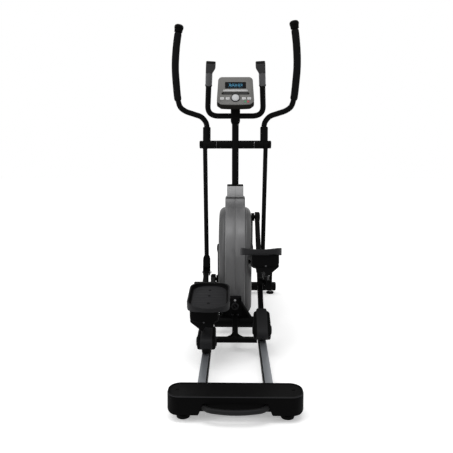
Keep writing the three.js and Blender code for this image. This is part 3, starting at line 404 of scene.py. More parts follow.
def link(a, radius_a, b, radius_b, steps=14):
    """The outline round two circles."""
    run = Vector((b[0] - a[0], b[1] - a[1]))
    lean = math.degrees(math.atan2(run.y, run.x))
    spread = math.degrees(math.acos((radius_a - radius_b) / run.length))
    return arc(a, radius_a, lean + spread, lean + 360 - spread, steps) + arc(
        b, radius_b, lean - spread, lean + spread, steps
    )


SPAN_STEPS = 8  # points on each span of a path


def path(points):
    """Points along a smooth curve through the given ones."""
    p = [Vector(v) for v in points]
    p = [2 * p[0] - p[1], *p, 2 * p[-1] - p[-2]]
    out = []
    for a, b, c, d in zip(p, p[1:], p[2:], p[3:]):
        t = [0.0]
        for u, v in ((a, b), (b, c), (c, d)):
            t.append(t[-1] + (v - u).length ** 0.5)
        for i in range(SPAN_STEPS):
            s = t[1] + (t[2] - t[1]) * i / SPAN_STEPS
            ab, bc, cd = (
                u + (v - u) * ((s - t[k]) / (t[k + 1] - t[k]))
                for k, (u, v) in enumerate(((a, b), (b, c), (c, d)))
            )
            abc = ab + (bc - ab) * ((s - t[0]) / (t[2] - t[0]))
            bcd = bc + (cd - bc) * ((s - t[1]) / (t[3] - t[1]))
            out.append(abc + (bcd - abc) * ((s - t[1]) / (t[2] - t[1])))
    return [*out, p[-2]]


def bend(corners, reach, steps):
    """Straight runs joined by rounded corners."""
    c = [Vector(v) for v in corners]
    out = [c[0]]
    for before, corner, after in zip(c, c[1:], c[2:]):
        start = corner + (before - corner).normalized() * reach
        end = corner + (after - corner).normalized() * reach
        for i in range(steps + 1):
            t = i / steps
            out.append(start.lerp(corner, t).lerp(corner.lerp(end, t), t))
    return [*out, c[-1]]


def rod(points, radius, sides=32):
    """A round rod along points, with one radius or one for each point."""
    points = [Vector(p) for p in points]
    radii = radius if hasattr(radius, "__len__") else [radius] * len(points)
    side = Vector((0.31, 0.52, 0.79))
    rings = []
    for i, p in enumerate(points):
        ahead = (points[min(i + 1, len(points) - 1)] - points[max(i - 1, 0)]).normalized()
        side = (side - ahead * side.dot(ahead)).normalized()
        across = ahead.cross(side)
        rings.append([p + side * u + across * v for u, v in circle(radii[i], sides)])
    return loft(rings)


# ---- placing -------------------------------------------------------------------
def joined(*parts):
    bm = bmesh.new()
    for part in parts:
        mesh = bpy.data.meshes.new("part")
        part.to_mesh(mesh)
        part.free()
        bm.from_mesh(mesh)
        bpy.data.meshes.remove(mesh)
    return bm


def put(matrix, *parts):
    bm = joined(*parts)
    bm.transform(matrix)
    return bm


def to(x, y, z):
    return Matrix.Translation((x, y, z))


def facing(*direction):
    """Turns Z to a direction."""
    return Vector(direction).to_track_quat("Z", "Y").to_matrix().to_4x4()


TO_X = Matrix(((0, 0, 1, 0), (1, 0, 0, 0), (0, 1, 0, 0), (0, 0, 0, 1)))  # Z to X
TO_REAR = Matrix(((1, 0, 0, 0), (0, 0, -1, 0), (0, 1, 0, 0), (0, 0, 0, 1)))  # Z to -Y


def along_x(x, y, z, *parts):
    return put(to(x, y, z) @ TO_X, *parts)


def rearward(x, y, z, *parts):
    return put(to(x, y, z) @ TO_REAR, *parts)


def sideways(x, y, z, side, *parts):
    """Parts at a point, with their Z turned to the right (1) or the left (-1)."""
    return put(to(x, y, z) @ facing(side, 0, 0), *parts)


def hexagon(across, height):
    """A bolt head with a chamfered top."""
    r = across / math.sqrt(3)
    return turned([(r, 0), (r, height * 0.8), (r * 0.88, height)], 6)


def bolt(across, height, washer):
    thick = 1.2
    head = put(to(0, 0, thick), hexagon(across, height))
    return joined(turned([(washer, 0), (washer, thick)], 24), head)


# ---- pieces --------------------------------------------------------------------
MATERIALS = {}
PAINT, PLASTIC, CHARCOAL = "satin_black_paint", "black_plastic", "charcoal_plastic"
RUBBER, STEEL, DARK_STEEL = "black_rubber", "bright_steel", "dark_steel"
NEAREST_SLOT = {  # the record's slot for each finish that it doesn't have
    "gloss_black_paint": PAINT,
    "dark_steel": STEEL,
    "cover_plastic": PLASTIC,
    "tread_plastic": CHARCOAL,
    "grip_plastic": CHARCOAL,
    "pod_plastic": CHARCOAL,
    "console_back": PLASTIC,
    "display_glow": "display_pane",
    "stop_red": "rocker_green",
}


def piece(name, slot, *shapes, body="base", node=None, place=None, edge=0.0, segments=3, crease=32):
    """Makes shapes one object that rides on a body and may stand for a CAD node."""
    bm = joined(*shapes)
    if place:
        bm.transform(place)
    bm.transform(Matrix.Scale(MM, 4))
    bmesh.ops.remove_doubles(bm, verts=bm.verts, dist=1e-7)
    bmesh.ops.recalc_face_normals(bm, faces=bm.faces)
    limit = math.radians(crease)
    for face in bm.faces:
        face.smooth = True
    for e in bm.edges:
        e.smooth = bool(edge) or len(e.link_faces) != 2 or e.calc_face_angle(0) < limit
    obj = shown(name, bm)
    obj.data.materials.append(MATERIALS[slot])
    if edge:
        bevel = obj.modifiers.new("edges", "BEVEL")
        bevel.width, bevel.segments, bevel.limit_method = edge * MM, segments, "ANGLE"
        bevel.angle_limit = limit
        bevel.miter_outer = "MITER_ARC"
        obj.modifiers.new("normals", "WEIGHTED_NORMAL").keep_sharp = True
    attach(obj, body)
    if node:
        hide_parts(node)
    slot if slot in SLOTS else NEAREST_SLOT[slot]
    return obj


def shown(name, bm):
    mesh = bpy.data.meshes.new(name)
    bm.to_mesh(mesh)
    bm.free()
    obj = bpy.data.objects.new(name, mesh)
    bpy.context.scene.collection.objects.link(obj)
    return obj


def dressed(node):
    """A CAD node's own shape with its edges rounded, standing for the node."""
    bm = bmesh.new()
    bm.from_mesh(frame["nodes"][node].data)
    bm.transform(Matrix.Scale(1 / MM, 4))
    bmesh.ops.remove_doubles(bm, verts=bm.verts, dist=2e-3)
    bmesh.ops.dissolve_limit(
        bm, angle_limit=math.radians(0.6), verts=bm.verts, edges=bm.edges, delimit=set()
    )
    edge = size("edge")
    piece(node + "_skin", SLOT_OF[node], bm, body=BODY_OF[node], node=node, edge=edge, segments=2)


def carve(obj, *cutters):
    """Cuts shapes out of a piece."""
    for cutter in cutters:
        cutter.transform(Matrix.Scale(MM, 4))
        bmesh.ops.recalc_face_normals(cutter, faces=cutter.faces)
        tool = shown("cutter", cutter)
        modifier = obj.modifiers.new("carve", "BOOLEAN")
        modifier.object, modifier.operation, modifier.solver = tool, "DIFFERENCE", "EXACT"
        bpy.context.view_layer.update()
        shaped = obj.evaluated_get(bpy.context.evaluated_depsgraph_get())
        obj.data = bpy.data.meshes.new_from_object(shaped)
        obj.modifiers.remove(modifier)
        mesh = tool.data
        bpy.data.objects.remove(tool)
        bpy.data.meshes.remove(mesh)


def end_plug(name, side, x, y, z, *profile):
    """A moulded plug or cap on one end of a cross tube."""
    plug = sideways(SIDES[side] * x, y, z, SIDES[side], turned(profile, 56))
    piece(name + side, PLASTIC, plug)


# ---- places of the moving frames -----------------------------------------------
REST_TURN = {  # of each link about its joint, in radians
    "right": {
        "arm_tilt": 0.652834, "pedal_pivot": -0.203169, "swing_pivot": -0.066355, "crank_spin": 0,
    },
    "left": {
        "arm_tilt": 0.128601, "pedal_pivot": 0.126735, "swing_pivot": -0.190846, "crank_spin": PI,
    },
}


def link_frame(side, joint):
    """The frame of a link: its X is outwards on both sides."""
    at = PIVOT[joint if joint in PIVOT else f"{side}_{joint}"]
    return MIRROR[side] @ to(0, at.y, at.z) @ Matrix.Rotation(REST_TURN[side][joint], 4, "X")


FACE = to(0, 372, 1335) @ Matrix.Rotation(math.radians(59), 4, "X")  # the console's own plane


# ---- base ----------------------------------------------------------------------
def levelling_foot(name, x, y, stud_top):
    """A tapered rubber pad under a steel stud and nut."""
    add, pad_top = partial(piece, body=name, place=to(x, y, 0)), 13.4
    pad = turned([(24, 0), (25.3, 0.7), (25.7, 2.5), (25.7, 9.5), (24.6, 12), (10, pad_top)])
    add(name + "_pad", RUBBER, pad, node=name)
    stud = turned([(5, 12), (5, stud_top)], 20)
    add(name + "_stud", STEEL, stud, put(to(0, 0, pad_top), hexagon(15, 5)))


def make_feet():
    for name, side in SIDES.items():
        levelling_foot("foot_front_" + name, side * 246, 823, 28)
        levelling_foot("foot_rear_" + name, side * 197, -820, 42)


WELD_TURN = [PI * i / 6 for i in range(7)]  # angles round a weld bead's half circle


def bead(radius, height):
    """A weld bead's section round a tube, as (radius, height) points."""
    return [(radius - 0.4 + height * math.sin(a), -height * math.cos(a) * 1.3) for a in WELD_TURN]


def make_front_stabiliser():
    y, z, half, radius = 823, 50, 276, 30
    wheel_x, axle = 190, (879, 32)
    plates, heads = [], []
    for side in SIDES.values():
        for face in (-1, 1):
            x = side * wheel_x + face * 14
            plates.append(slab(link((y + 20, z + 2), 22, axle, 12), x - 2.5, x + 2.5))
            heads.append(sideways(x + face * 2.5, *axle, face, bolt(11, 5, 9)))
    tube = along_x(0, y, z, turned([(radius, -half), (radius, half)], 56))
    beads = [along_x(x, y, z, turned(bead(radius, 2.4), closed=True)) for x in (-24, 24)]
    piece(
        "front_tube", PAINT, tube, *plates, *beads, node="front_stabiliser", edge=1.0, segments=2
    )
    piece("front_axle_bolts", DARK_STEEL, *heads)
    for name, side in SIDES.items():
        end_plug(
            "front_plug_", name, half, y, z,
            (radius + 0.2, 0), (radius + 0.2, 3), (29, 6.5), (25, 9.2), (18, 10),
        )
        tyre = turned(both_ways([
            (6.6, -11), (12, -11), (13, -8), (20, -8), (21.5, -11), (24.5, -10), (26, -6),
        ]), closed=True)
        body = "transport_wheel_" + name
        place = to(side * wheel_x, *axle) @ TO_X
        piece(body + "_tyre", RUBBER, tyre, body=body, node=body, place=place)


COVER_HALF, COVER_CORNER = 255.5, 48
COVER_REAR, COVER_FRONT = -872, -752
COVER_LOW, COVER_HIGH = 32, 104
RAIL_GAP, HANDLE_GAP = (107.5, 152.5), 138


def mirrored(places):
    return [*places, *(-x for x in reversed(places))]


def cover_outline(inset):
    """The rear cover's plan, with points where its lower edge steps."""
    half, corner = COVER_HALF - inset, max(COVER_CORNER - inset, 4)
    rear, front = COVER_REAR + inset, COVER_FRONT - inset
    corners = [
        arc((x * (half - corner), y), corner, start, start + 90, 10)
        for x, y, start in (
            (1, front - corner, 0), (-1, front - corner, 90),
            (-1, rear + corner, 180), (1, rear + corner, 270),
        )
    ]
    gaps = mirrored([152.7, 152.3, 107.7, 107.3, 40])
    dip = mirrored([-150, -138, -134, -129, -125, -121, -116, -108, -90, -60, -20])
    return [
        *corners[0], *((x, front) for x in gaps), *corners[1],
        *corners[2], *((x, rear) for x in dip), *corners[3],
    ]


def cover_low(x, y):
    """The height of the rear cover's lower edge at a point of its plan."""
    x = abs(x)
    if y > -760 and RAIL_GAP[0] < x < RAIL_GAP[1]:
        return 81
    end = min(max((x - 227) / 28.5, 0), 1)
    low = COVER_LOW + 12 * (1 - math.sqrt(1 - end * end))
    if y < -850 and x < HANDLE_GAP:
        rise = min((HANDLE_GAP - x) / 20, 1)
        return low + 2 + 44 * rise * rise * (3 - 2 * rise)
    return low


def make_rear_cover():
    def ring(inset, z=None, least=0):
        return [
            (x, y, max(cover_low(x, y), least) if z is None else z)
            for x, y in cover_outline(inset)
        ]

    high, radius = COVER_HIGH, 3.6
    rings = [ring(8, high - 5.5), ring(4, high - 9), ring(3.2), ring(1.2), ring(0)]
    rings.append(ring(0.4, least=84))
    for a in (PI / 2 * i / 6 for i in range(7)):
        rings.append(ring(0.6 + radius * (1 - math.cos(a)), high - radius + radius * math.sin(a)))
    rings += [ring(radius + 3, high), ring(radius + 4.2, high - 1.4), ring(radius + 9, high - 1.7)]
    cover = piece("rear_cover_shell", "cover_plastic", loft(rings), node="rear_cover", crease=50)
    # A lighter strip just proud of the top edge: a painted highlight along the rear cover's rim.
    painted_highlight, proud = [], radius + 0.3
    for a in (math.radians(20 + 10 * i) for i in range(7)):
        painted_highlight.append(ring(0.6 + radius - proud * math.cos(a), high - radius + proud * math.sin(a)))
    painted_highlight += [ring(3.4, high - 0.9), ring(1.4, high - 2.8)]
    piece("rear_cover_arris", "tread_plastic", loft(painted_highlight, around=True), crease=80)
    screws = []
    for side in SIDES.values():
        at = side * 219, -812
        carve(cover, put(to(*at, high - 6), turned([(5.5, 0), (6.2, 8)], 24)))
        head = turned([(4.8, 0), (4.8, 2.2), (3.2, 3.4)], 24)
        screws.append(put(to(*at, high - 6.2), head))
    piece("rear_cover_screws", PAINT, *screws)


def make_lift_handle():
    x, y, z = mouth = 120, -850.3, 61
    half = [mouth, (120, -857, 61), (103, -881, 60), (60, -892, 58)]
    points = path([(-x, y, z) for x, y, z in half] + [(0, -895, 56)] + half[::-1])
    piece("lift_bar", "gloss_black_paint", rod(points, 10), node="lift_handle")
    collars = [
        put(
            to(side * x, y, z) @ facing(0, -1, 0),
            turned([(15, 0), (15, 3), (13.5, 4.5), (10, 5)], 32),
        )
        for side in SIDES.values()
    ]
    piece("lift_bar_collars", PLASTIC, *collars)


# ---- rails ---------------------------------------------------------------------
def make_rails():
    """A black steel rail with an anodised running strip let into its top."""
    rear, front = -789.7, -90
    for name, side in SIDES.items():
        def rail_bar(y0, y1, inner, outer, *rest):
            return bar(rounded(*sorted((side * inner, side * outer)), *rest), y0, y1)

        strip = rail_bar(rear, front, 118.6, 150.6, 75, 80, 1.2, 4)
        piece("rail_strip_" + name, "rail_aluminium", strip, node="rail_" + name)
        tube = rail_bar(rear, front - 3, 113.4, 150.9, 42, 79, 3, 5)
        piece("rail_tube_" + name, PAINT, tube)
        plug = rail_bar(front - 3, front, 113.1, 151, 41.8, 79.3, 3.5, 5)
        piece("rail_plug_" + name, PLASTIC, plug, edge=1)


def channel(half, low, high):
    """A channel's section, open upwards."""
    inner, floor = half - 4.5, high - 9
    return [
        (-half, low), (half, low), (half, high), (inner, high), (inner, floor),
        (-inner, floor), (-inner, high), (-half, high),
    ]


def make_yoke():
    cross = block(-108.7, 108.7, -230, -200, 55, 77)
    spans = [(-202 + 42 * t, 15 + 32 * (1 - t) ** 2.4) for t in (i / 8 for i in range(9))]
    post = loft([
        upright(channel(half, 57 + (y + 215) * 0.163, 74 + (y + 215) * 0.176), y)
        for y, half in [*spans, (30, 15)]
    ])
    flange = slab(rounded(30, 36, 96, 203, 1, 2), -20, 20)
    piece("rail_yoke_weldment", PAINT, cross, post, flange, node="rail_yoke", edge=1.5, segments=2)
    piece("yoke_bolt", STEEL, rearward(0, 30, 192, bolt(9, 5, 6.5)))
    small = [rearward(x, 30, 111, bolt(7, 3.5, 5.5)) for x in (-13.5, 13.5)]
    piece("yoke_small_bolts", DARK_STEEL, *small)


def make_lock_knob():
    """A ringed knob with a bar across it; the bar's lighter plastic paints a slanting highlight."""
    ring = [(12.5, 8), (18.2, 8), (19, 10), (19, 18.5), (17.6, 21), (14.4, 21), (12.5, 19)]
    disc = turned([(11, 3), (13, 8), (13, 16.5), (0, 16.5)], 40)
    stem = turned([(5, -24), (5, 4)], 20)
    grips = [
        put(
            Matrix.Rotation(PI * i / 6, 4, "Z") @ to(18.4, 0, 8.6),
            turned([(1.6, 0), (1.6, 10.4)], 8),
        )
        for i in range(12)
    ]
    handle = prism(rounded(-12.6, 12.6, -2.6, 2.6, 2.4, 5), 16, 20)
    add = partial(piece, body="lock_knob", place=to(0, 29.5, 163) @ TO_REAR)
    add("lock_knob_ring", CHARCOAL, turned(ring, closed=True), *grips, node="lock_knob")
    add("lock_knob_hub", PLASTIC, disc, stem)
    # the bar is a grip; its lighter plastic paints the slanting highlight across the knob
    add("lock_knob_bar", CHARCOAL, put(Matrix.Rotation(-0.85, 4, "Z"), handle), edge=0.8)


# ---- frame ---------------------------------------------------------------------
MAST_Y = 450
CRANK_C, WHEEL_C = (375, 410), (650, 330)  # centres of the crank and flywheel, as (y, z)


def make_main_frame():
    beam = bar(rounded(-25, 25, 80.3, 140.3, 5, 5), 76.3, 845)
    bracket = block(-34, 34, 36.3, 76.3, 97, 204)
    spine = block(-25, 25, 70, 120, 97, 184)
    neck = block(-25, 25, 50, 110, 70, 117)
    foot = block(-74, 74, 616, 684, 136.3, 143.3)
    shaft = along_x(0, *WHEEL_C, turned([(8, -74), (8, 74)], 24))
    tube = along_x(0, 50, 64, turned([(30, -108), (30, 108)], 56))
    # a black plate between the struts, partly standing in for the shade under the casing
    shade_apron = bar([(-93, 72), (93, 72), (31, 170), (-31, 170)], 54, 59)
    struts = []
    for side in SIDES.values():
        struts.append(rod([(side * 91, 50, 76), (side * 27, 48.6, 178)], 11, 28))
        stand = [(616, 136.3), (684, 136.3), (668, 346), (632, 346)]
        struts.append(slab(stand, *sorted((side * 68, side * 74))))
    piece(
        "frame_weldment", PAINT, beam, bracket, spine, neck, foot, shaft, tube, shade_apron, *struts,
        node="main_frame", edge=2.2, crease=40,
    )
    for side in SIDES:
        end_plug("cross_tube_plug_", side, 108, 50, 64, (30.2, 0), (30.2, 2.5), (29, 4.6), (24, 6))


def make_mast():
    tube = prism(rounded(-20, 20, 415, 485, 14, 10), 140.6, 1162)
    web = block(-14, 14, 375, 416.5, 376, 444)
    shell = turned([(28, -26), (28, 26), (10.5, 26), (10.5, -26)], closed=True)
    piece("mast_tube", PAINT, tube, web, along_x(0, *CRANK_C, shell), node="mast", crease=40)


SLEEVE = (  # (half width, rear, front, height, corner) from the bottom up
    (20.6, 413.5, 486.5, 1147, 13), (22.5, 410, 489, 1149, 13), (27.2, 404.4, 493.6, 1160, 9),
    (27.5, 404, 494, 1163, 8), (27.5, 404, 494, 1226, 8), (26.4, 405, 493, 1232, 8),
    (22, 409, 489, 1236, 8), (19, 413, 486, 1237, 8),
)
NECK = ((19, 404, 480, 1234, 8), (17.5, 400, 474, 1246, 8), (18, 392, 470, 1262, 8))


def make_mast_head():
    """The moulded sleeve where the mast, handlebar and console meet."""
    sleeve, neck = (
        loft([
            level(rounded(-half, half, rear, front, corner, 6), z)
            for half, rear, front, z, corner in rows
        ])
        for rows in (SLEEVE, NECK)
    )
    piece("mast_head_sleeve", PLASTIC, sleeve, node="mast_head", crease=50)
    piece("console_neck", PLASTIC, neck)
    screw = turned([(4.4, -1), (4.4, 0.6), (3.4, 1.4)], 20)
    piece("mast_head_screw", PAINT, rearward(0, 404, 1184, screw))


# ---- swing arms ----------------------------------------------------------------
SWING_AT = MAST_Y, 1026
ARM_LOW, PIN_Z = -672, -760  # the end of a swing arm's tube, and the pin of its clevis
HANDLE = (  # (x, y, z) from the swing pivot, up from the socket to the end cap
    (171, 0, 36), (171, 0, 100), (171, 0, 112), (177, -2, 134), (203, -7, 164), (250, -12, 181),
    (297, -16, 197), (327, -22, 219), (340, -34, 256), (350, -50, 350), (355, -64, 450),
    (348, -78, 560), (336.5, -88, 643), (333, -91, 664),
)
FOAM_SPANS = (8, 12)  # the points of the handle where its foam starts and ends
SHOULDER = (  # (inner x, outer x, half depth, height) from the tube down into the clevis
    (154, 182, 26.5, -662), (151, 185, 26, -668), (147.6, 188.4, 23.5, -680), (147, 189, 21, -692),
    (147, 189, 21, -730),
)
END_CAP = (  # (radius, height) from the end of the handle's tube
    (16.6, -20), (22.4, -20), (23.6, -18.6), (23.9, -8), (25.2, -3.5), (25.4, -2), (24.2, -1),
    (24.2, 0.4), (26.4, 1.4), (27, 4), (27, 11), (26, 15), (23, 19.6), (17.6, 23.4), (10, 25.5),
    (3, 26),
)


def make_swing_axle():
    tube = turned([(22.6, -111.5), (24, -110), (24, 110), (22.6, 111.5)], 56)
    spindle = turned([(10, -195), (10, 195)], 32)
    piece("cross_tube", PAINT, along_x(0, *SWING_AT, tube, spindle), node="swing_axle")
    washers = [turned([(23.9, x - 0.3), (23.9, x + 0.3)], 56) for x in (-111.75, 111.75)]
    piece("cross_tube_washers", STEEL, along_x(0, *SWING_AT, *washers))
    for side in SIDES:
        end_plug(
            "swing_cap_", side, 194.5, *SWING_AT,
            (22.2, 0), (23, 1), (23, 14.5), (22, 17.4), (19, 19), (9, 19.5),
        )


def swing_section(z, grow=0.0):
    """A swing arm's tube at a height; it leans outwards to the top."""
    x = 168 + (z - ARM_LOW) * (13 / -ARM_LOW)
    across, deep = 12.5, 25
    outline = rounded(x - across - grow, x + across + grow, -deep - grow, deep + grow, 11 + grow)
    return level(outline, z)


def make_swing_arms():
    for side in SIDES:
        body = "swing_arm_" + side
        add = partial(piece, body=body, place=link_frame(side, "swing_pivot"))
        hub = [(10.5, 112), (22.8, 112), (24, 113.4), (24, 192.6), (22.8, 194), (10.5, 194)]
        socket = [(23, 0), (23, 100), (22.2, 103), (20, 104), (16.3, 104), (16.3, 34), (0, 34)]
        weld = [swing_section(-22 - 3 * math.cos(a), 2.2 * math.sin(a)) for a in WELD_TURN]
        shoulder = [level(rounded(x0, x1, -deep, deep, 6, 5), z) for x0, x1, deep, z in SHOULDER]
        cheek = arc((0, PIN_Z), 21, 180, 360, 20) + [(21, -722), (-21, -722)]
        web = arc((0, PIN_Z), 21, 90, 0, 8) + [(21, -729), (0, -729)]
        add(
            body + "_weldment", PAINT, put(TO_X, turned(hub, 56, True)),
            put(to(171, 0, 0), turned(socket, 56)), loft([swing_section(z) for z in (ARM_LOW, 0)]),
            loft(weld), loft(shoulder), slab(cheek, 147, 153), slab(cheek, 183, 189),
            slab(web, 152.5, 183.5), node=body, edge=1.1, segments=2, crease=40,
        )
        pins = [sideways(x, 0, PIN_Z, d, bolt(14, 6, 11)) for x, d in ((189, 1), (147, -1))]
        add(body + "_pin_heads", STEEL, *pins)
        screw = [(3.6, -1), (3.6, 0.4), (2.4, 1)]
        screws = [rearward(171, -23, z, turned(screw, 20)) for z in (62, 86)]
        add(body + "_socket_screws", PAINT, *screws)


def make_handles():
    points = path(HANDLE)
    first, last = (i * SPAN_STEPS for i in FOAM_SPANS)
    for side in SIDES:
        place = link_frame(side, "swing_pivot")
        add = partial(piece, body="swing_arm_" + side, place=place)
        tube = rod(points, size("tube"), 40)
        add("handle_tube_" + side, PAINT, tube, node="swing_handle_" + side)
        sleeve = foam_sleeve(points[first : last + 1])
        foam = add("foam_sleeve_" + side, "foam", sleeve, node="foam_grip_" + side, crease=80)
        place = place @ to(*points[-1]) @ facing(*(points[-1] - points[-2]).normalized())
        cap = turned(END_CAP, 56)
        add("end_cap_" + side, PLASTIC, cap, node="handle_cap_" + side, place=place, crease=60)


def foam_sleeve(run):
    """Foam along a tube: soft ends and a surface that is a little uneven."""
    outer, neck = size("foam"), 18
    radii = []
    for i, point in enumerate(run):
        from_end = min((point - run[0]).length, (run[-1] - point).length)
        soft = 1 - math.exp(-from_end / 3.5)
        ripple = 0.12 * math.sin(i * 1.7) + 0.1 * math.sin(i * 0.61 + 2)
        radii.append(neck + (outer - neck) * soft + ripple * soft - 0.1)
    start, end = (run[1] - run[0]).normalized(), (run[-1] - run[-2]).normalized()
    run = [run[0], run[0] + start * 1.2, *run[1:-1], run[-1] - end * 1.2, run[-1]]
    return rod(run, [17.0, radii[0] + 0.6, *radii[1:-1], radii[-1] + 0.6, 17.0], 48)


# ---- fixed handlebar -----------------------------------------------------------
BAR_TOP, BAR_CORNER = Vector((143.5, 240, 1438)), Vector((164, 430, 1192))


def make_handlebar():
    corners = [(-BAR_TOP.x, *BAR_TOP.yz), (-BAR_CORNER.x, *BAR_CORNER.yz), BAR_CORNER, BAR_TOP]
    tube = rod(bend(corners, 68, 14), size("tube"), 40)
    piece("handlebar_tube", PAINT, tube, node="handlebar")
    up = (BAR_TOP - BAR_CORNER).normalized()
    out = (Vector((1, 0, 0)) - up * up.x).normalized()
    turn = Matrix((out, up.cross(out), up)).transposed().to_4x4()
    for side in SIDES:
        make_pulse_grip(side, MIRROR[side] @ to(*BAR_TOP) @ turn)


def make_pulse_grip(side, place):
    """A moulded sleeve with bright contact strips, closed by a flat-topped pod."""
    add = partial(piece, place=place)
    sleeve = [(16.7, -103), (18, -103), (18.5, -101), (18.5, -20), (17, -4), (16.7, -4)]
    ring = [
        (16.7, -112), (18.6, -112), (19.4, -110.5), (19.4, -105), (18.6, -103.4), (16.7, -103.4),
    ]
    pod = [
        (18.2, -26), (18.2, 29.6), (-34.2, 29.6), (-34.2, 8), (-31, -2), (-18, -27.6), (-8, -27.6),
    ]
    add(
        "pulse_sleeve_" + side, "grip_plastic", turned(sleeve, closed=True),
        node="pulse_grip_" + side, crease=50,
    )
    add("pulse_pod_" + side, "pod_plastic", bar(pod, -18.4, 18.4), edge=4.5, segments=4)
    lid = prism(rounded(-31, 15, -15.4, 15.4, 4, 5), 29, 30)
    add("pulse_lid_" + side, PLASTIC, lid, edge=0.4, segments=2)
    add("pulse_ring_" + side, RUBBER, turned(ring, closed=True))
    strips = []
    for centre in (0, 180):
        inner = arc((0, 0), 18.0, centre - 30, centre + 30, 10)
        outer = arc((0, 0), 19.2, centre + 28, centre - 28, 10)
        strips += [prism(inner + outer, low, high) for low, high in ((-97, -64), (-60, -31))]
    add("pulse_contacts_" + side, STEEL, *strips, edge=0.4, segments=2)


# ---- drive ---------------------------------------------------------------------
CRANK_THROW = 190


def make_drive():
    for node in ("drive_pulley", "drive_belt", "flywheel", "brake_yoke", "rear_stabiliser"):
        dressed(node)
    axle = turned([(8.5, -107.5), (10, -106), (10, 106), (8.5, 107.5)], 32)
    piece("crank_shaft", STEEL, along_x(0, *CRANK_C, axle), body="crank", node="crank_axle")
    for side in SIDES:
        node = "crank_arm_" + side
        add = partial(piece, body="crank", place=link_frame(side, "crank_spin"))
        blade = slab(link((0, 0), 21, (0, CRANK_THROW), 19.5, 24), 95.5, 104.5)
        hub = put(TO_X, turned([(25, 95.5), (26, 96.5), (26, 104.6), (24.6, 106)]))
        boss = turned([(23, 95.5), (24, 96.5), (24, 112.3), (23, 113.5)])
        boss = along_x(0, 0, CRANK_THROW, boss)
        add(node + "_forging", PAINT, blade, hub, boss, node=node, edge=1.6, crease=40)
        cap = turned([(17, -0.5), (17, 1.4), (15, 2.6), (8, 3)], 40)
        add(node + "_cover", PLASTIC, sideways(106, 0, 0, 1, cap))


# ---- casing --------------------------------------------------------------------
CASING_LOW, CASING_HALF, RIDGE_HALF = 89, 93, 59.5
SIDE_BIG, SIDE_SMALL = 238, 146  # radii of the sides about the crank and the flywheel
RIDGE_BIG, RIDGE_SMALL = 250, 158  # the same for the ridge between them
RAYS = [  # angles of the casing's points about the crank, closest where the neck curves
    math.radians(start - step * i)
    for start, step, first, last in (
        (234.6, 3.4, 0, 36), (112, 1.1, 1, 60), (46, 2.2, 0, 38), (-37.2, 6.2, 0, 14),
    )
    for i in range(first, last)
]
FLANK = (  # (distance from the middle, inset from the sides) from the ridge outwards
    (59.7, -6.5), (60.6, -9.6), (66, -9.2), (72, -7), (78, -3), (83, 2), (87.4, 8), (90.8, 15.5),
    (92.6, 23), (93, 31), (93, 33), (91.6, 34.5), (91.6, 40), (93, 41.5), (93, 60), (93, 100),
)


def side_outline(inset):
    """A side's outline: two circles and their tangent over a flat bottom."""
    big, small = SIDE_BIG - inset, SIDE_SMALL - inset
    dy, dz = WHEEL_C[0] - CRANK_C[0], WHEEL_C[1] - CRANK_C[1]
    upper = math.degrees(math.atan2(dz, dy) + math.acos((big - small) / math.hypot(dy, dz)))
    low = CASING_LOW + (RIDGE_BIG - big) * 0.2
    return [
        (CRANK_C[0] - big * 0.94, low),
        *arc(CRANK_C, big, 180, upper, 90),
        *arc(WHEEL_C, small, upper, 0, 40),
        (WHEEL_C[0] + small, low),
    ]


def ridge_outline(inset):
    """The ridge's outline, which sweeps up to the collar."""
    sweep = path(
        arc(CRANK_C, RIDGE_BIG, 113, 110, 1)
        + [(318, 655), (345, 664), (368, 678), (384, 694), (392, 706)]
    )
    front = path([
        (505, 704), (507, 680), (520, 650), (548, 616), (590, 577), (640, 543), (741, 460),
    ])
    points = [Vector((CRANK_C[0] - RIDGE_BIG * 0.94, CASING_LOW))]
    for p in [
        *arc(CRANK_C, RIDGE_BIG, 180, 112, 50), *sweep[3:],
        *arc((403, 707), 8, 175, 90, 6), *arc((497, 707), 8, 90, 5, 6),
        *front, *arc(WHEEL_C, RIDGE_SMALL, 55, 0, 30), (WHEEL_C[0] + RIDGE_SMALL, CASING_LOW),
    ]:
        if (Vector(p) - points[-1]).length > 1.5:
            points.append(Vector(p))
    return moved_in(points, inset)


def moved_in(points, inset):
    """An open outline moved to its right by inset."""
    out = []
    for i, p in enumerate(points):
        run = (points[min(i + 1, len(points) - 1)] - points[max(i - 1, 0)]).normalized()
        out.append((p.x + run.y * inset, p.y - run.x * inset))
    return out


def casing_ring(x, outline):
    """Where rays from the crank's centre leave a closed outline."""
    points = [(y - CRANK_C[0], z - CRANK_C[1]) for y, z in outline]
    hits = []
    for angle in RAYS:
        c, s = math.cos(angle), math.sin(angle)
        best = 0.0
        for (y0, z0), (y1, z1) in zip(points, points[1:] + points[:1]):
            dy, dz = y1 - y0, z1 - z0
            across = c * dz - s * dy
            if abs(across) < 1e-9:
                continue
            t = (s * y0 - c * z0) / across
            if -1e-6 <= t <= 1 + 1e-6:
                best = max(best, c * (y0 + t * dy) + s * (z0 + t * dz))
        hits.append((x, CRANK_C[0] + best * c, CRANK_C[1] + best * s))
    return hits


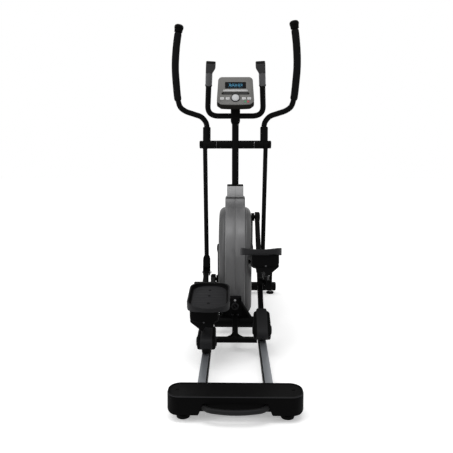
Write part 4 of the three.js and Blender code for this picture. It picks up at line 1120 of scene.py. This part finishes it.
def make_casing():
    """Two halves, each with its inside, a ridge rounded at its edge, a flank and a flat side."""
    wall, round_over = 3, 7
    side_x, ridge_x = CASING_HALF - wall, RIDGE_HALF - wall
    inside = [(side_x, 60), (side_x, 32), (side_x - 12, 12)]
    inside += [(side_x - 26, wall), (ridge_x + 2, wall)]
    ridge = [(ridge_x, wall), (0.5, wall), (0.5, 1.0), (0.6, 0.4), (1.4, 0.0), (30, 0.0)]
    for a in (PI / 2 * i / 5 for i in range(6)):
        x = RIDGE_HALF - 7.5 + round_over * math.sin(a)
        ridge.append((x, round_over * (1 - math.cos(a))))
    rings = [
        casing_ring(x, outline(inset))
        for rows, outline in ((inside, side_outline), (ridge, ridge_outline), (FLANK, side_outline))
        for x, inset in rows
    ]
    bezel = [(30, 92), (30, 93.8), (31, 94.6), (60, 94.6), (62, 93.8), (63, 92)]
    for name, mirror in MIRROR.items():
        shell, node = loft(rings), "casing_" + name
        piece("casing_shell_" + name, "grey_casing", shell, node=node, place=mirror, crease=38)
        place = mirror @ to(0, *CRANK_C) @ TO_X
        piece("casing_bezel_" + name, PLASTIC, turned(bezel, 64, True), place=place)


def make_collar():
    halves = [
        loft([
            level([(side * x, y) for x, y in collar_half(inset)], z)
            for inset, z in ((1, 715.3), (0, 716.5), (0.6, 779), (1.2, 780.5), (2.4, 781))
        ])
        for side in SIDES.values()
    ]
    piece("collar_halves", "collar_grey", *halves, node="mast_collar", crease=50)
    rim = loft([
        level(rounded(-r - 2.5, r + 2.5, MAST_Y - r, MAST_Y + r, 7, 6), z)
        for r, z in ((44.6, 780.4), (46, 781.4), (46, 785.6), (44.6, 787), (38, 787))
    ])
    piece("collar_rim", PLASTIC, rim, crease=50)


def collar_half(inset):
    """The plan of the collar's right half, with rounded outer corners."""
    r, reach = 7 - inset * 0.5, 49.5 - inset
    rear, front = 403 + inset, 497 - inset
    corners = arc((reach - r, rear + r), r, -90, 0, 7) + arc((reach - r, front - r), r, 0, 90, 7)
    return [(0.45, rear), *corners, (0.45, front)]


# ---- stride linkage ------------------------------------------------------------
ROLLER_X, ARM_END, ARM_PIN = 130, 793, (290, 28)
HOOD = (  # (along the arm, half width, low, high, corner) from the rear end to the front
    (-43, 35, 8, 30, 6), (-41, 38.5, 1, 36, 8), (-35, 41, -5, 42, 9), (-24, 42, -8, 47, 9),
    (0, 42, -10, 48.5, 9), (45, 41.5, -14, 48, 9), (84, 40, -20, 45, 9), (92, 37.5, -21.5, 44, 8),
    (97, 31, -22, 43.4, 8), (101, 26.5, -22.5, 43, 7), (111, 24.5, -22.5, 41, 6),
    (113, 23.5, -21.5, 40, 6),
)


def make_rollers():
    for side in SIDES:
        at = PIVOT[side + "_arm_tilt"]
        add = partial(piece, place=MIRROR[side] @ to(ROLLER_X, at.y, at.z) @ TO_X)
        shaft = turned([(8, -30), (8, 30)], 32)
        ends = [put(to(0, 0, z) @ facing(0, 0, z), hexagon(13, 4)) for z in (28, -28)]
        add(
            "roller_shaft_" + side, STEEL, shaft, *ends,
            body="roller_carrier_" + side, node="roller_axle_" + side,
        )
        tyre = turned(both_ways([
            (8.6, -20), (16, -20), (17.5, -17), (28, -17), (30, -20), (35.5, -20), (37.4, -18),
            (38, -15),
        ]), 64, True)
        node = "roller_wheel_" + side
        add(node + "_tyre", RUBBER, tyre, body=node, node=node, crease=40)


def make_connecting_arms():
    for side in SIDES:
        node, place = "connecting_arm_" + side, link_frame(side, "arm_tilt")
        add = partial(piece, body=node, place=place)
        tube = bar(rounded(117, 143, -23, 23, 5, 6), 60, 765)
        hub = turned([(28.8, 117), (30, 118.4), (30, 141.6), (28.8, 143)], 56)
        stub = turned([(11, 113.5), (11, 118)], 24)
        lug = turned([(21, 117), (22, 118), (22, 142), (21, 143)], 40)
        pin = turned([(10, 118), (10, 186)], 32)
        cheek = arc((0, 0), 16, 90, 270, 14) + [(60, -16), (60, 16)]
        add(
            node + "_weldment", PAINT, tube, along_x(0, ARM_END, 0, hub, stub),
            along_x(0, *ARM_PIN, lug, pin), slab(cheek, 103, 108), slab(cheek, 152, 157),
            block(103, 157, 48, 70, -16, 16), node=node, edge=1.2, segments=2, crease=40,
        )
        outwards = facing(1, 0, 0)
        hub_cap = turned([(24, 0), (24, 1.5), (22, 3.4), (14, 4.4)])
        add(node + "_cap", PLASTIC, hub_cap, place=place @ to(143, ARM_END, 0) @ outwards)
        pin_cap = turned([(17, 0), (17, 3), (15, 5.4), (8, 6)], 40)
        add(node + "_pin_cap", PLASTIC, pin_cap, place=place @ to(186, *ARM_PIN) @ outwards)


def make_roller_covers():
    """A hood over each roller, with a raised band along its middle whose lighter plastic is a painted highlight,
    and a disc on each side.
    """
    def ring(y, half, low, high, corner):
        return upright(rounded(ROLLER_X - half, ROLLER_X + half, low, high, corner, 6), y)

    for side in SIDES:
        node = "roller_cover_" + side
        place = link_frame(side, "arm_tilt")
        add = partial(piece, body="connecting_arm_" + side, place=place)
        add(node + "_hood", PLASTIC, loft([ring(*row) for row in HOOD]), node=node, crease=60)
        # the band is raised; its lighter plastic paints the highlight along the hood's middle
        band = loft([
            ring(
                y - 1.6 if y < 0 else y - 0.6, min(half - 5, 28), low + 2, high + 1.5,
                max(corner - 3, 5),
            )
            for y, half, low, high, corner in HOOD
        ])
        add(node + "_band", CHARCOAL, band, crease=60)
        disc = [(22, 0), (22, 3.4), (20.6, 5), (17, 6), (16, 5), (6, 5)]
        discs = [sideways(ROLLER_X + d * 40.5, 6, 14, d, turned(disc, 56)) for d in (-1, 1)]
        add(node + "_discs", PLASTIC, *discs)


def make_pedal_arms():
    slope = 41 / 442
    run = Vector((0, 1, slope)).normalized()
    rise = Vector((0, -run.z, run.y))

    def ring(y, inner, outer, half):
        centre = Vector((0, y, y * slope))
        section = rounded(inner, outer, -half, half, 6, 6)
        return [centre + Vector((x, 0, 0)) + rise * v for x, v in section]

    rows = (
        (-110, 153, 183, 22.5), (372, 153, 183, 22.5), (380, 154, 182, 20),
        (392, 155.5, 180.5, 15.5),
    )
    for side in SIDES:
        node, place = "pedal_arm_" + side, link_frame(side, "pedal_pivot")
        tube = loft([ring(*row) for row in rows])
        tongue = slab(link((392, 392 * slope), 15, (442, 41), 20), 155, 181)
        hub = put(TO_X, turned([(21, 150), (22, 151), (22, 185), (21, 186)]))
        cheek = [(-110, -24.7), (-10, 0), (-22, 127), (-180, 127)]
        piece(
            node + "_weldment", PAINT, tube, tongue, hub, slab(cheek, 153, 159),
            slab(cheek, 177, 183), body=node, node=node, place=place, edge=1.6, segments=2,
            crease=40,
        )
        make_carrier(node, place)


SHROUD = (  # (along the arm, widening, lowest point) from the rear end to the front
    (-304, -10, 92), (-300, -3, 86), (-290, 0, 82), (-200, 0, 74), (-120, 0, 74), (-70, -2, 84),
    (-56, -8, 92), (-52, -14, 100),
)


def make_carrier(node, place):
    """The moulded shroud between the pedal and its arm."""
    add = partial(piece, body=node, place=place)
    rings = []
    for y, grow, low in SHROUD:
        outer = arc((184 + grow, low + 24), 20, 0, -80, 8)
        inner = arc((98 - grow, low + 24), 24, -90, -180, 8)
        rim = [(204 + grow, 139.5), *outer, (166, low), (136, low), *inner, (74 - grow, 139.5)]
        rings.append(upright(rim, y))
    add(node + "_shroud", PLASTIC, loft(rings), edge=2, crease=50)
    plate = [
        (203, 96), (202, 84), (153, 42), (143, 42), (136, 62), (118, 58), (98, 58), (94, 84),
        (94, 96),
    ]
    add(node + "_gusset", PAINT, bar(plate, -292, -284), edge=1.2, segments=2)
    knob = turned([(4, 0), (4, 3), (9, 4), (10, 6), (10, 11), (8, 13.4), (4, 14)], 32)
    add(node + "_knob", PLASTIC, knob, place=place @ to(74.5, -250, 108) @ facing(-1, 0, 0))
    screw = bolt(6, 3, 4.6)
    add(node + "_screw", DARK_STEEL, screw, place=place @ to(141, -302, 90) @ TO_REAR)


# ---- pedals --------------------------------------------------------------------
PEDAL_X, PEDAL_HALF = 122, 97
TRAY = (  # (inset, height, how much of the dip it sinks by, how much of it it rises by)
    (26, 139, 0, 0), (14, 139, 0, 0), (12.6, 139.6, 0, 1), (2.4, 138, 0, 1), (0.8, 138.6, 0, 1),
    (0.2, 142, 0, 1), (0, 168, 1, 0), (0.2, 171, 1, 0), (1.2, 173.4, 1, 0), (3.4, 174, 1, 0),
    (6.4, 173.6, 1, 0), (9, 171, 0.9, 0), (10.6, 166, 0.6, 0), (12, 159, 0.3, 0),
    (14.5, 155.4, 0, 0), (18, 154.2, 0, 0), (24, 154, 0, 0),
)
# A black skin over the tray's inner wall: painted shade on that wall.
PAINTED_WALL_SHADE = (  # (inset, height, how much of the dip it sinks by)
    (7, 173.9, 1), (9.3, 171.4, 0.9), (10.9, 166.2, 0.6), (12.3, 159.3, 0.3), (14.8, 155.8, 0),
    (18.1, 154.7, 0), (18.3, 153.6, 0), (13.6, 154.6, 0), (10, 165.6, 0.6), (8, 171, 0.9),
    (6.6, 173.2, 1),
)


def pedal_plan(inset):
    """The foot plate's plan: a well rounded toe and a bowed heel."""
    bow = 9.0
    x0, x1 = PEDAL_X - PEDAL_HALF + inset, PEDAL_X + PEDAL_HALF - inset
    y0, y1 = -320 + inset, -23 - inset
    r, toe = max(62 - inset, 10), max(78 - inset, 10)
    front = arc((x1 - toe, y1 - toe), toe, 0, 90, 12) + arc((x0 + toe, y1 - toe), toe, 90, 180, 12)
    left = arc((x0 + r, y0 + r + bow * 0.5), r, 180, 262, 12)
    heel = [(PEDAL_X + u, y0 + bow * (u / 100) ** 2) for u in (-22, -11, 0, 11, 22)]
    return front + left + heel + [(2 * PEDAL_X - x, y) for x, y in reversed(left)]


def rim_dip(x, y):
    """How far the rim sinks: most in the middle of toe and heel, least at the corners."""
    across = 1 - min(abs(x - PEDAL_X) / 92, 1) ** 2
    along = min(max(abs(y + 165) / 140 - 0.1, 0), 1)
    return 8.5 * across * along


def make_pedals():
    """Trays with a raised rim that dips at toe and heel, round a ribbed tread; a black skin paints shade on the
    tray's inner wall.
    """
    def ring(inset, z, rim=0, skirt=0):
        return [(x, y, z + (skirt - rim) * rim_dip(x, y)) for x, y in pedal_plan(inset)]

    for side in SIDES:
        node, place = "pedal_" + side, link_frame(side, "pedal_pivot")
        add = partial(piece, body="pedal_arm_" + side, place=place)
        tray = loft([ring(*row) for row in TRAY])
        add(node + "_tray", CHARCOAL, tray, node=node, crease=50)
        # painted shade: a black skin over the tray's inner wall
        painted_wall_shade = loft([ring(*row) for row in PAINTED_WALL_SHADE], around=True)
        add(node + "_lining", PLASTIC, painted_wall_shade, crease=60)
        mat = loft([ring(*row) for row in ((20, 153.8), (20.4, 154.7), (22, 155.2))])
        add(node + "_tread", "tread_plastic", mat, crease=50)
        stud = [(6.4, 0), (6.4, 1), (5.2, 1.8), (3, 1.2)]
        studs = [put(to(PEDAL_X, y, 155), turned(stud, 28)) for y in (-96, -160, -244)]
        add(node + "_bolts", PLASTIC, *studs)
        ribs = []
        for i in range(13):
            y, half = -288 + i * 18.5, 54 + 16 * math.sin(PI * (i + 1) / 14)
            rib = rounded(PEDAL_X - half, PEDAL_X + half, y - 1.6, y + 1.6, 1.5, 3)
            ribs.append(prism(rib, 154.8, 155.9))
        add(node + "_ribs", "tread_plastic", *ribs, edge=0.4, segments=1)


# ---- console -------------------------------------------------------------------
CONSOLE_BACK = (  # (inset, height over the face's plane, bottom) from the face to the back
    (4, -3, -103), (1.2, -5, -106), (0.4, -14, -113), (0.8, -24, -116), (5, -34, -113),
    (14, -40, -104), (26, -42, -90),
)
CONSOLE_FACE = (  # the same, from the underside of the face plate up
    (5, -8, -98), (0.8, -7.4, -99), (0.2, -3, -100), (1.2, -0.9, -99.5), (3.4, 0, -99),
)
LEDGE = (  # (half width, low, high, height over the face)
    (71, -12, -2, -1), (71, -12, -2, 3), (69.6, -11, -3, 5.6), (68, -10, -4.4, 6.2),
)
BARS = ((34, 7, 24), (22, 3, 18), (45, 2.4, 12))  # (middle, height, cells) of the lit rows
DIAL = (  # (radius, height over the face)
    (6, -6), (6, 0.5), (21, 0.5), (22.2, 1.4), (22.2, 3), (20.8, 6), (17.6, 8.4), (13, 10),
    (8, 10.8), (0, 11.2),
)
on_face = partial(piece, place=FACE)


def console_plan(inset, bottom):
    """The console's outline in its own plane."""
    chamfer = 20.0
    low, reach, narrow = bottom + inset, 106.5 - inset, 100.5 - inset
    top, r = 92 - inset, max(24 - inset, 3)
    points = arc((narrow - r, top - r), r, 4, 90, 10)
    points += arc((-narrow + r, top - r), r, 90, 176, 10)
    corner = [
        (-reach, low + chamfer + 8), (-reach + 1.5, low + chamfer), (-reach + 20, low + 4),
        (-reach + 27, low + 1),
    ]
    floor = [(-40, low - 1.2), (0, low - 1.6), (40, low - 1.2)]
    return points + corner + floor + [(-x, y) for x, y in reversed(corner)]


def make_console():
    back, face = (
        loft([level(console_plan(inset, bottom), z) for inset, z, bottom in rows])
        for rows in (CONSOLE_BACK, CONSOLE_FACE)
    )
    on_face("console_shell", "console_back", back, crease=50)
    plate = on_face("console_face", "console_grey", face, node="console", crease=50)
    window = prism(rounded(-60.4, 60.4, 9.4, 54.6, 3, 4), -2.4, 4)
    groove = prism(rounded(-80, 80, -33, -16, 7.5, 6), -3.4, 4)
    carve(plate, put(FACE, window), put(FACE, groove))


def make_display():
    pane = prism(rounded(-58, 58, 11, 53, 1.5, 3), -2.3, -0.3)
    on_face("display_glass", "display_pane", pane, node="display_window", edge=0.5, segments=2)
    outer = rounded(-60.2, 60.2, 9.6, 54.4, 2.8, 4)
    inner = rounded(-58.2, 58.2, 11.2, 52.8, 1.4, 4)
    rings = [level(*row) for row in ((outer, -2), (outer, 0.5), (inner, 0.5), (inner, -2))]
    on_face("display_rim", PLASTIC, loft(rings, around=True))
    lit = []
    for row, (v, tall, cells) in enumerate(BARS):
        for i in range(cells):
            if (i * 7 + row * 3) % 5 == 0:
                continue
            u, low = -40 + 80 * (i + 0.5) / cells, v - tall / 2
            grow = 0.45 + 0.55 * abs(math.sin(i * (1.3 + row) + row))
            lit.append(block(u - 1.3, u + 1.3, low, low + tall * grow, -0.4, -0.15))
    on_face("display_segments", "display_glow", *lit)


def make_ledge():
    """The reading ledge, the recess under it with a near-black floor that partly paints its shade, and the row of
    marks above.
    """
    ledge = loft([
        level(rounded(-half, half, low, high, 3.4, 5), z) for half, low, high, z in LEDGE
    ])
    on_face("reading_ledge", "key_white", ledge, crease=50)
    # the recess floor's near-black partly paints the shade in the recess
    floor = prism(rounded(-79, 79, -32.2, -16.8, 7, 6), -3.4, -2.6)
    on_face("ledge_recess", "console_back", floor)
    tray = prism(rounded(-70, 70, -30, -19, 4, 5), -3, -1.2)
    on_face("ledge_tray", "pod_plastic", tray, edge=0.6)
    marks = []
    for i in range(16):
        u, wide = -56 + i * 7.5, 2.6 if i % 3 else 1.4
        marks.append(block(u - wide, u + wide, 1.6, 2.9, -0.3, 0.12))
    on_face("display_marks", "key_white", *marks)


def key_cap(x0, x1, y0, y1, corner, easing, *levels):
    """A key that draws in towards its top, from (inset, height) levels."""
    return loft([
        level(rounded(x0 + k, x1 - k, y0 + k, y1 - k, corner - k * easing, 5), z)
        for k, z in levels
    ])


def make_controls():
    dial = to(0, -56, 0)
    seat = turned([(26.5, -0.4), (27.2, 0.8), (26.6, 2.2), (25.2, 2.4)], 56)
    on_face("dial_seat", CHARCOAL, put(dial, seat))
    knob = put(dial, turned(DIAL, 64))
    on_face("dial_knob", "dial_silver", knob, body="dial", node="dial", crease=50)
    for i, x in enumerate((-76, -44, 48, 78), 1):
        body = f"button_{i}"
        cap = key_cap(
            x - 11, x + 11, -68, -52, 3, 0.6, (0, -3.5), (0, 1.8), (0.7, 2.7), (2, 3)
        )
        on_face(body + "_cap", "key_white", cap, body=body, node=body, crease=50)
        arrows = []
        for d in (-3, 3):
            tips = ((d - 2, -63), (d + 2, -60), (d - 2, -57))
            arrows.append(prism([(x + (u if i % 2 else -u), v) for u, v in tips], 2.8, 3.2))
        on_face(body + "_arrows", "console_grey", *arrows, body=body)
    body = "start_stop_rocker"
    for name, slot, x0, x1, node in (
        ("start_key", "rocker_green", 50.5, 63.6, body), ("stop_key", "stop_red", 64.4, 77.5, None),
    ):
        key = key_cap(x0, x1, -86, -76, 2.4, 0.4, (0, -3.5), (0, 1.4), (0.6, 2.3), (1.6, 2.5))
        on_face(name, slot, key, body=body, node=node, crease=50)


# ---- stage ---------------------------------------------------------------------
FLOOR_GLOW = 0.32  # how far the floor is lifted towards white where it is seen
FLOOR_HALF = 14  # metres
WORLD_LIGHT = 0.56  # strength of the world on the object; where it is seen, it is white


def make_floor():
    corners = [(x * FLOOR_HALF, y * FLOOR_HALF, 0) for x, y in ((-1, -1), (1, -1), (1, 1), (-1, 1))]
    bm = bmesh.new()
    bm.faces.new([bm.verts.new(corner) for corner in corners])
    floor = shown("floor", bm)
    s = Shader("floor_paper", Base_Color=(0.98, 0.98, 0.98), Roughness=0.9, Specular_IOR_Level=0.0)
    s.link(Emission_Color=background_ray(s), Emission_Strength=FLOOR_GLOW)
    floor.data.materials.append(s.material)


def background_ray(s):
    """1 for rays that show the background: from the camera, off gloss or through glass."""
    camera, glossy, through = (
        s.add("ShaderNodeLightPath", out=f"Is {kind} Ray")
        for kind in ("Camera", "Glossy", "Transmission")
    )
    return camera.maths("MINIMUM", camera + glossy + through, 1.0)


class WorldShader(Shader):
    def __init__(self, world):
        world.use_nodes = True
        self.tree = world.node_tree


def make_light():
    world = bpy.data.worlds.new("studio")
    bpy.context.scene.world = world
    s = WorldShader(world)
    background = s.tree.nodes["Background"]
    s.set(background, "Color", (1, 1, 1))
    s.set(background, "Strength", WORLD_LIGHT + (1 - WORLD_LIGHT) * background_ray(s))
    sky = bpy.data.lights.new("ceiling", "SUN")
    sky.energy, sky.angle = 0.85, math.radians(60)
    aim(sky, (-0.6, -0.7, 3.2), (0, 0, 0))
    for name, place, target, wide, tall, power in (
        ("left_strip", (-2.6, -2.2, 1.7), (0, 0, 0.9), 0.25, 1.8, 20),
        ("right_strip", (2.8, -1.8, 1.6), (0, 0, 0.9), 0.25, 1.8, 2),
        ("high_strip", (0, -1.6, 3.4), (0, -0.2, 0.5), 1.8, 0.3, 14),
    ):
        lamp = bpy.data.lights.new(name, "AREA")
        lamp.shape, lamp.size, lamp.size_y, lamp.energy = "RECTANGLE", wide, tall, power
        aim(lamp, place, target)


def aim(lamp, place, target):
    obj = bpy.data.objects.new(lamp.name, lamp)
    obj.location = place
    obj.rotation_euler = (Vector(target) - Vector(place)).to_track_quat("-Z", "Y").to_euler()
    bpy.context.scene.collection.objects.link(obj)


def make_camera():
    camera = bpy.data.cameras.new("camera")
    camera.lens, camera.sensor_width, camera.clip_end = 39.735, 36, 60
    obj = bpy.data.objects.new("camera", camera)
    obj.location = (-0.006, -2.58, 1.0)
    obj.rotation_euler = (math.radians(90 - 8.81), 0, math.radians(0.884))
    bpy.context.scene.collection.objects.link(obj)
    bpy.context.scene.camera = obj
    bpy.context.scene.view_settings.view_transform = "Standard"


# ---- operators -----------------------------------------------------------------
class TRAINER_OT_finishes(bpy.types.Operator):
    """Makes the finishes and puts them on the CAD pieces"""

    bl_idname = "trainer.finishes"
    bl_label = "Finishes"

    def execute(self, context):
        MATERIALS.update(make_materials())
        for node, obj in frame["nodes"].items():
            obj.data.materials.clear()
            obj.data.materials.append(MATERIALS[SLOT_OF[node]])
        return {"FINISHED"}


class TRAINER_OT_base(bpy.types.Operator):
    """Makes the stabilisers, feet, wheels, rear cover and lift handle"""

    bl_idname = "trainer.base"
    bl_label = "Base"

    def execute(self, context):
        make_feet()
        make_front_stabiliser()
        make_rear_cover()
        make_lift_handle()
        return {"FINISHED"}


class TRAINER_OT_rails(bpy.types.Operator):
    """Makes the rails, their yoke and the lock knob"""

    bl_idname = "trainer.rails"
    bl_label = "Rails"

    def execute(self, context):
        make_rails()
        make_yoke()
        make_lock_knob()
        return {"FINISHED"}


class TRAINER_OT_frame(bpy.types.Operator):
    """Makes the main frame, the mast and its head"""

    bl_idname = "trainer.frame"
    bl_label = "Frame and mast"

    def execute(self, context):
        make_main_frame()
        make_mast()
        make_mast_head()
        return {"FINISHED"}


class TRAINER_OT_drive(bpy.types.Operator):
    """Makes the crank, pulley, belt, flywheel and brake"""

    bl_idname = "trainer.drive"
    bl_label = "Drive"

    def execute(self, context):
        make_drive()
        return {"FINISHED"}


class TRAINER_OT_casing(bpy.types.Operator):
    """Makes the casing halves and the mast collar"""

    bl_idname = "trainer.casing"
    bl_label = "Casing"

    def execute(self, context):
        make_casing()
        make_collar()
        return {"FINISHED"}


class TRAINER_OT_linkage(bpy.types.Operator):
    """Makes the rollers, connecting arms and pedal arms"""

    bl_idname = "trainer.linkage"
    bl_label = "Linkage"

    def execute(self, context):
        make_rollers()
        make_connecting_arms()
        make_roller_covers()
        make_pedal_arms()
        return {"FINISHED"}


class TRAINER_OT_pedals(bpy.types.Operator):
    """Makes the foot plates"""

    bl_idname = "trainer.pedals"
    bl_label = "Pedals"

    def execute(self, context):
        make_pedals()
        return {"FINISHED"}


class TRAINER_OT_swing(bpy.types.Operator):
    """Makes the swinging arms with their foam grips"""

    bl_idname = "trainer.swing"
    bl_label = "Swing arms"

    def execute(self, context):
        make_swing_axle()
        make_swing_arms()
        make_handles()
        return {"FINISHED"}


class TRAINER_OT_handlebar(bpy.types.Operator):
    """Makes the fixed handlebar and its pulse grips"""

    bl_idname = "trainer.handlebar"
    bl_label = "Handlebar"

    def execute(self, context):
        make_handlebar()
        return {"FINISHED"}


class TRAINER_OT_console(bpy.types.Operator):
    """Makes the console with its display, ledge, dial and keys"""

    bl_idname = "trainer.console"
    bl_label = "Console"

    def execute(self, context):
        make_console()
        make_display()
        make_ledge()
        make_controls()
        return {"FINISHED"}


class TRAINER_OT_stage(bpy.types.Operator):
    """Makes the floor, the light and the camera"""

    bl_idname = "trainer.stage"
    bl_label = "Stage"

    def execute(self, context):
        make_floor()
        make_light()
        make_camera()
        return {"FINISHED"}


# ---- panel ---------------------------------------------------------------------
STEPS = (
    TRAINER_OT_finishes, TRAINER_OT_base, TRAINER_OT_rails, TRAINER_OT_frame,
    TRAINER_OT_drive, TRAINER_OT_casing, TRAINER_OT_linkage, TRAINER_OT_pedals,
    TRAINER_OT_swing, TRAINER_OT_handlebar, TRAINER_OT_console, TRAINER_OT_stage,
)


class TRAINER_PT_panel(bpy.types.Panel):
    """Lists the steps that build the trainer"""

    bl_idname = "TRAINER_PT_panel"
    bl_label = "Elliptical trainer"
    bl_space_type = "VIEW_3D"
    bl_region_type = "UI"
    bl_category = "Trainer"

    def draw(self, context):
        for group in (context.scene.trainer_finishes, context.scene.trainer_sizes):
            for key in group.__annotations__:
                self.layout.prop(group, key)
        for step in STEPS:
            self.layout.operator(step.bl_idname)


CLASSES = (TrainerFinishes, TrainerSizes, *STEPS, TRAINER_PT_panel)


def register():
    for cls in CLASSES:
        bpy.utils.register_class(cls)
    bpy.types.Scene.trainer_finishes = bpy.props.PointerProperty(type=TrainerFinishes)
    bpy.types.Scene.trainer_sizes = bpy.props.PointerProperty(type=TrainerSizes)


def unregister():
    del bpy.types.Scene.trainer_sizes
    del bpy.types.Scene.trainer_finishes
    for cls in reversed(CLASSES):
        bpy.utils.unregister_class(cls)


def main():
    register()
    for step in STEPS:
        group, name = step.bl_idname.split(".")
        getattr(getattr(bpy.ops, group), name)()


if __name__ == "__main__":
    main()
